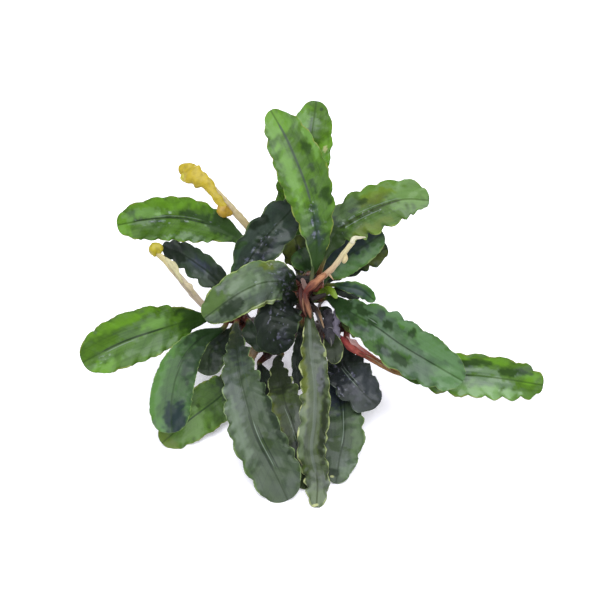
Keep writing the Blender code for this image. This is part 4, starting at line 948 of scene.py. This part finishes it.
class Shading:
    """A material's nodes, made one at a time. Values are numbers, colours or other nodes' outputs."""

    def __init__(self, name):
        self.material = bpy.data.materials.new(name)
        self.material.use_nodes = True
        self.tree = self.material.node_tree
        self.shader = self.tree.nodes["Principled BSDF"]

    def put(self, socket, value):
        if isinstance(value, bpy.types.NodeSocket):
            self.tree.links.new(value, socket)
        elif isinstance(value, tuple) and len(value) == 3 and socket.type == "RGBA":
            socket.default_value = (*value, 1)
        else:
            socket.default_value = value

    def set(self, **values):
        """Sets the shader's inputs, such as base_color=..."""
        for key, value in values.items():
            self.put(self.shader.inputs[key.replace("_", " ").title().replace("Ior", "IOR")], value)

    def make(self, kind, values, output=0, **settings):
        """The output of a new node of this kind, with its first inputs set."""
        node = self.tree.nodes.new(f"ShaderNode{kind}")
        for key, value in settings.items():
            setattr(node, key, value)
        for socket, value in zip(node.inputs, values):
            self.put(socket, value)
        return node.outputs[output]

    def reading(self, name):
        return self.make("Attribute", (), "Fac", attribute_name=name)

    def math(self, operation, *values):
        return self.make("Math", values, operation=operation)

    def times(self, first, second):
        return self.math("MULTIPLY", first, second)

    def plus(self, first, second):
        return self.math("ADD", first, second)

    def minus(self, first, second):
        return self.math("SUBTRACT", first, second)

    def vector(self, x, y, z=0.0):
        return self.make("CombineXYZ", (x, y, z))

    def round_stem(self):
        """Where a point is on a stem, for noise: along it and round it."""
        turn = self.reading("turn")
        return self.vector(self.reading("run"), self.math("SINE", turn), self.math("COSINE", turn))

    def between(self, value, low, high, start=0.0, end=1.0):
        """start where value is low, end where it is high, smooth between and level outside."""
        return self.make("MapRange", (value, low, high, start, end), interpolation_type="SMOOTHSTEP")

    def noise(self, where, scale, detail=3.0):
        node = self.tree.nodes.new("ShaderNodeTexNoise")
        for key, value in (("Vector", where), ("Scale", scale), ("Detail", detail), ("Roughness", 0.5)):
            self.put(node.inputs[key], value)
        return node.outputs["Fac"]

    def mix(self, share, first, second, blend="MIX"):
        node = self.tree.nodes.new("ShaderNodeMix")
        node.data_type = "RGBA"
        node.blend_type = blend
        node.clamp_factor = blend == "MIX"
        for place, value in ((0, share), (6, first), (7, second)):
            self.put(node.inputs[place], value)
        return node.outputs[2]

    def layers(self, colour, *layers):
        """The colour with each layer's tint over it in turn, as much as the layer's share."""
        for share, tint in layers:
            colour = self.mix(share, colour, tint)
        return colour

    def streak(self, x, y, start, end, half_width):
        """1 on the line from start to end, 0 beyond its half width."""
        (x0, y0), (x1, y1) = start, end
        length = math.hypot(x1 - x0, y1 - y0)
        east, north = (x1 - x0) / length, (y1 - y0) / length
        from_x, from_y = self.minus(x, x0), self.minus(y, y0)
        along = self.plus(self.times(from_x, east), self.times(from_y, north))
        off = self.minus(self.times(from_y, east), self.times(from_x, north))
        beyond = self.math("MAXIMUM", self.times(along, -1.0), self.minus(along, length))
        taper = self.math("MAXIMUM", self.plus(beyond, STREAK_TAPER), 0.0)
        away = self.plus(self.math("ABSOLUTE", off), self.times(taper, half_width / STREAK_TAPER))
        return self.between(away, 0.4 * half_width, 1.3 * half_width, 1.0, 0.0)

    def bump(self, height, distance_mm, strength):
        node = self.tree.nodes.new("ShaderNodeBump")
        self.put(node.inputs["Height"], height)
        node.inputs["Strength"].default_value = strength
        node.inputs["Distance"].default_value = distance_mm * MM
        self.tree.links.new(node.outputs[0], self.shader.inputs["Normal"])


def scaled(colour, factor):
    return tuple(factor * channel for channel in colour)


def leaf_material(leaf, number):
    """A blade's greens, veins, patches, painted sheen and highlights, rim, paler underside, and the stalk's
    colours.
    """
    tone, lighter = TONES[leaf.tone], scaled(TONES[leaf.tone].light, 1.75)
    m = Shading(f"{leaf.name}_surface")
    run, across, crest = m.reading("run"), m.reading("across_mm"), m.reading("crest")
    rib = m.math("ABSOLUTE", across)
    where = m.vector(run, across, float(7 * number))
    threads = m.noise(m.vector(m.times(run, 0.08), m.times(across, 1.6), float(number)), 1.0, 2.0)
    off_vein = m.math("PINGPONG", m.reading("vein"), 0.5)

    # Blade: deeper in blotches, along side veins, near the stalk and in threads, then painted highlights on
    # the ruffles' crests, painted shade in their troughs, and marks
    colour = m.layers(
        tone.light,
        (m.between(m.noise(where, 0.2), 0.42, 0.7, 0.0, 0.36), tone.deep),
        (m.between(off_vein, 0.0, 0.1, 0.22, 0.0), tone.deep),
        (m.between(m.reading("share"), 0.03, 0.35, 0.55, 0.0), tone.deep),
        (m.between(threads, 0.45, 0.7, 0.0, 0.3), tone.deep),
        (m.times(m.reading("light"), 0.85), lighter),
        (m.between(crest, 0.1, 0.9, 0.0, 0.45), lighter),
        (m.between(crest, -0.9, -0.1, 0.55, 0.0), tone.deep),
        (m.times(m.reading("olive"), 0.4), OLIVE),
        (m.times(m.reading("deep"), 0.85), tone.deep),
        (m.times(m.reading("blue"), 0.7), BLUE_BLACK),
    )

    # Painted sheen and painted glints, a dark midrib, the pale rim, and the lines drawn along the blade
    sheen = m.times(m.reading("sheen"), m.between(threads, 0.3, 0.7, 1.0, 0.8))
    sheen = m.times(sheen, m.between(rib, 0.05, 0.35, 0.35, 1.0))
    # Painted glints: pale specks of painted sheen where the leaf is crinkled
    glints = m.between(m.noise(m.vector(m.times(run, 0.6), across, 3.0), 1.1), 0.6, 0.67, 0.0, 2.6)
    painted_sheen_and_glints = m.plus(sheen, m.times(glints, m.reading("rough")))
    rim_width = m.between(m.noise(where, 0.45, 2.0), 0.4, 0.66, 0.03 * leaf.rim, 0.24 * leaf.rim)
    colour = m.layers(
        m.mix(painted_sheen_and_glints, colour, PAINTED_SHEEN, "ADD"),
        (m.between(rib, 0.1, 0.3, 0.5, 0.0), tone.deep),
        (m.between(m.math("DIVIDE", m.reading("edge"), rim_width), 0.6, 1.4, 0.7, 0.0), tone.rim),
        (m.reading("pale"), PALE_YELLOW),
    )
    blade = leaf_line(leaf)[1]
    for tint, *ends, width in leaf.streaks:
        places = [(leaf.stalk + share * blade, side * float(half_width(leaf, np.array(share))))
                  for share, side in ends]
        colour = m.mix(m.times(m.streak(run, across, *places, width), 0.7), colour, tint)

    # Underside and stalk, which is ribbed along
    under = m.mix(m.between(m.noise(where, 0.2), 0.36, 0.64, 0.0, 0.5), UNDERSIDE, tone.light)
    foot, middle, top = leaf.stalk_tones
    ribs = m.noise(m.vector(m.times(run, 0.15), m.times(across, 3.0)), 1.0)
    stalk = m.layers(
        foot,
        (m.between(run, 0.0, 0.45 * leaf.stalk + 1), middle),
        (m.between(run, 0.45 * leaf.stalk, leaf.stalk + 0.5), top),
        (m.between(ribs, 0.4, 0.65, 0.0, 0.6), scaled(foot, 0.45)),
        (m.between(ribs, 0.42, 0.3, 0.0, 0.35), TAN),
    )
    colour = m.layers(colour, (m.reading("under"), under), (m.reading("bare"), stalk))

    # Coat shine where the sheen and glints are painted, and fine relief
    weight = m.math("MINIMUM", m.plus(m.times(painted_sheen_and_glints, 0.42), 0.1), 0.8)
    m.set(base_color=colour, roughness=0.5, specular_ior_level=0.15, coat_weight=weight, coat_roughness=0.2)
    fine = m.plus(m.noise(where, 2.2), threads)
    m.bump(m.plus(fine, m.times(m.reading("rough"), m.noise(where, 1.1))), 0.14, 0.5)
    return m.material


def covering_colour(m, where, colour, strips):
    """The colour, but each strip's own blotched and fibrous colour on that strip."""
    blotches = m.between(m.noise(where, 0.9, 4.0), 0.4, 0.7, 0.0, 0.5)
    across = m.math("SINE", m.times(m.reading("turn"), 1 / TURN_SCALE))
    lines = m.noise(m.vector(m.times(m.reading("run"), 0.12), m.times(across, 2.0)), 2.0)
    fibres = m.between(lines, 0.42, 0.6)
    for number, strip in enumerate(strips):
        end = m.between(m.reading("share"), 0.1, 0.9)
        own = m.layers(
            strip.colour,
            (end, strip.end_colour or strip.colour),
            (m.times(fibres, strip.fibres), scaled(strip.colour, 0.3)),
            (blotches, scaled(strip.colour, 0.5)),
        )
        colour = m.mix(m.math("COMPARE", m.reading("coverings"), float(number + 1), 0.5), colour, own)
    return colour


def stalk_material(stalk):
    """Colour steps along the stalk, with lengthwise streaks, and its own tones on the ragged tissue."""
    m = Shading(f"{stalk.name}_surface")
    where = m.round_stem()
    colour, steps = stalk.colours[0], len(stalk.colours) - 1
    for step, tone in enumerate(stalk.colours[1:]):
        colour = m.mix(m.between(m.reading("share"), step / (steps + 1), (step + 1) / steps), colour, tone)
    streaks = m.noise(m.vector(m.times(m.reading("run"), 0.2), m.times(m.reading("turn"), 1.4)), 1.6, 4.0)
    colour = m.mix(m.between(streaks, 0.5, 0.75, 0.0, 0.6), colour, stalk.colours[0])
    colour = covering_colour(m, where, colour, stalk.coverings)
    m.set(base_color=colour, roughness=0.42, specular_ior_level=0.4, coat_weight=0.15, coat_roughness=0.2)
    m.bump(m.plus(m.noise(where, 2.4, 4.0), streaks), 0.18, 0.6)
    return m.material


def stem_material(name, red_from=2.0, coverings=()):
    """Ringed, scarred bark, redder towards a growing tip from this share of the length."""
    m = Shading(f"{name}_surface")
    where = m.round_stem()
    scar = m.math("PINGPONG", m.math("DIVIDE", m.reading("run"), SCAR_PITCH), 0.5)
    colour = m.layers(
        STEM_GREY,
        (m.between(m.noise(where, 0.7, 4.0), 0.35, 0.65), STEM_BROWN),
        (m.between(m.reading("share"), red_from, red_from + 0.25), STEM_RED),
        (m.between(scar, 0.38, 0.5, 0.0, 0.6), STEM_SCAR),
    )
    m.set(base_color=covering_colour(m, where, colour, coverings), roughness=0.6, specular_ior_level=0.3)
    m.bump(m.noise(where, 2.0, 5.0), 0.3, 0.8)
    return m.material


def add_leaves():
    for number, leaf in enumerate(LEAVES):
        rng = np.random.default_rng(LEAF_SEED + number)
        put_over(leaf.name, leaf_material(leaf, number), leaf_surface(leaf, rng))


def add_stalks():
    for number, stalk in enumerate(STALKS):
        rng = np.random.default_rng(STALK_SEED + number)
        line = line_from_shoot(stalk, stalk.line)
        line = np.vstack([line[0] - BURIED * unit(line[1] - line[0]), line])
        skin = tube(line, stalk.half_widths, stalk.half_thicknesses, TOWARDS_VIEWER, rng, lumps=0.05)
        put_over(stalk.name, stalk_material(stalk), *with_coverings(skin, stalk.coverings, rng))


def add_stems():
    """The rhizome, flat where it would go below the table, then the shoots and the roots."""
    rng = np.random.default_rng(STEM_SEED)
    radii = (RHIZOME_RADIUS, RHIZOME_RADIUS)
    line = seen_line(RHIZOME_LINE)
    ring, readings = tube(line, radii, radii, UPWARDS, rng, lumps=0.04, sides=48, rings=0.1)
    ring[..., 2] = np.maximum(ring[..., 2], 0.0)
    put_over("rhizome", stem_material("rhizome"), (ring, readings))
    for shoot in SHOOTS:
        axis = seen_line(shoot.axis)
        line = np.vstack([axis[0] - SHOOT_BURIED * unit(axis[1] - axis[0]), axis])
        radii = shoot.radius * np.interp(np.linspace(0, 1, 12), *SHOOT_TAPER)
        skin = tube(line, radii, radii, AWAY_FROM_VIEWER, rng, lumps=0.05, sides=40, rings=0.08)
        material = stem_material(shoot.name, shoot.red_from, shoot.coverings)
        put_over(shoot.name, material, *with_coverings(skin, shoot.coverings, rng))
    for name, points in ROOTS.items():
        skin = tube(smooth_line(points), ROOT_RADII, ROOT_RADII, UPWARDS, rng, lumps=0.12, sides=16)
        put_over(name, stem_material(name), skin)


def add_floor():
    mesh = bpy.data.meshes.new("floor")
    corners = [(FLOOR_HALF * x, FLOOR_HALF * y, 0) for x, y in ((-1, -1), (1, -1), (1, 1), (-1, 1))]
    mesh.from_pydata(corners, [], [(0, 1, 2, 3)])
    floor = bpy.data.objects.new("floor", mesh)
    bpy.context.scene.collection.objects.link(floor)
    m = Shading("floor_white")
    m.set(base_color=(0.90, 0.88, 0.92), roughness=0.9, specular_ior_level=0.0)
    m.set(emission_color=(0.90, 0.86, 0.96), emission_strength=0.28)
    mesh.materials.append(m.material)


def aim(thing, target):
    """Turns a light or the camera so that its -Z axis points at the target, with its top up."""
    direction = Vector(target) - thing.location
    thing.rotation_mode = "QUATERNION"
    thing.rotation_quaternion = direction.to_track_quat("-Z", "Y")


def add_lights():
    """Soft white light from all round, and a large softbox above."""
    world = bpy.data.worlds.new("studio")
    bpy.context.scene.world = world
    world.use_nodes = True
    background = world.node_tree.nodes["Background"]
    background.inputs["Color"].default_value = (0.93, 0.95, 1.0, 1)
    background.inputs["Strength"].default_value = 0.75
    light = bpy.data.lights.new("softbox", "AREA")
    light.energy = 20.0
    light.color = (0.95, 0.98, 1.0)
    light.shape = "RECTANGLE"
    light.size = light.size_y = 1.5
    lamp = bpy.data.objects.new("softbox", light)
    bpy.context.scene.collection.objects.link(lamp)
    lamp.location = (0.0, -0.1, 1.0)
    aim(lamp, (0, 0, 0))


def add_camera():
    camera = bpy.data.objects.new("camera", bpy.data.cameras.new("camera"))
    bpy.context.scene.collection.objects.link(camera)
    camera.data.sensor_width = SENSOR_WIDTH
    camera.data.lens = SENSOR_WIDTH * VIEW_DISTANCE / VIEW_WIDTH
    camera.data.clip_start = 0.01
    camera.location = EYE * MM
    aim(camera, VIEW_TARGET * MM)
    bpy.context.scene.camera = camera


def main():
    add_camera()
    bpy.context.scene.view_settings.view_transform = "Standard"
    add_leaves()
    add_stalks()
    add_stems()
    add_floor()
    add_lights()


main()
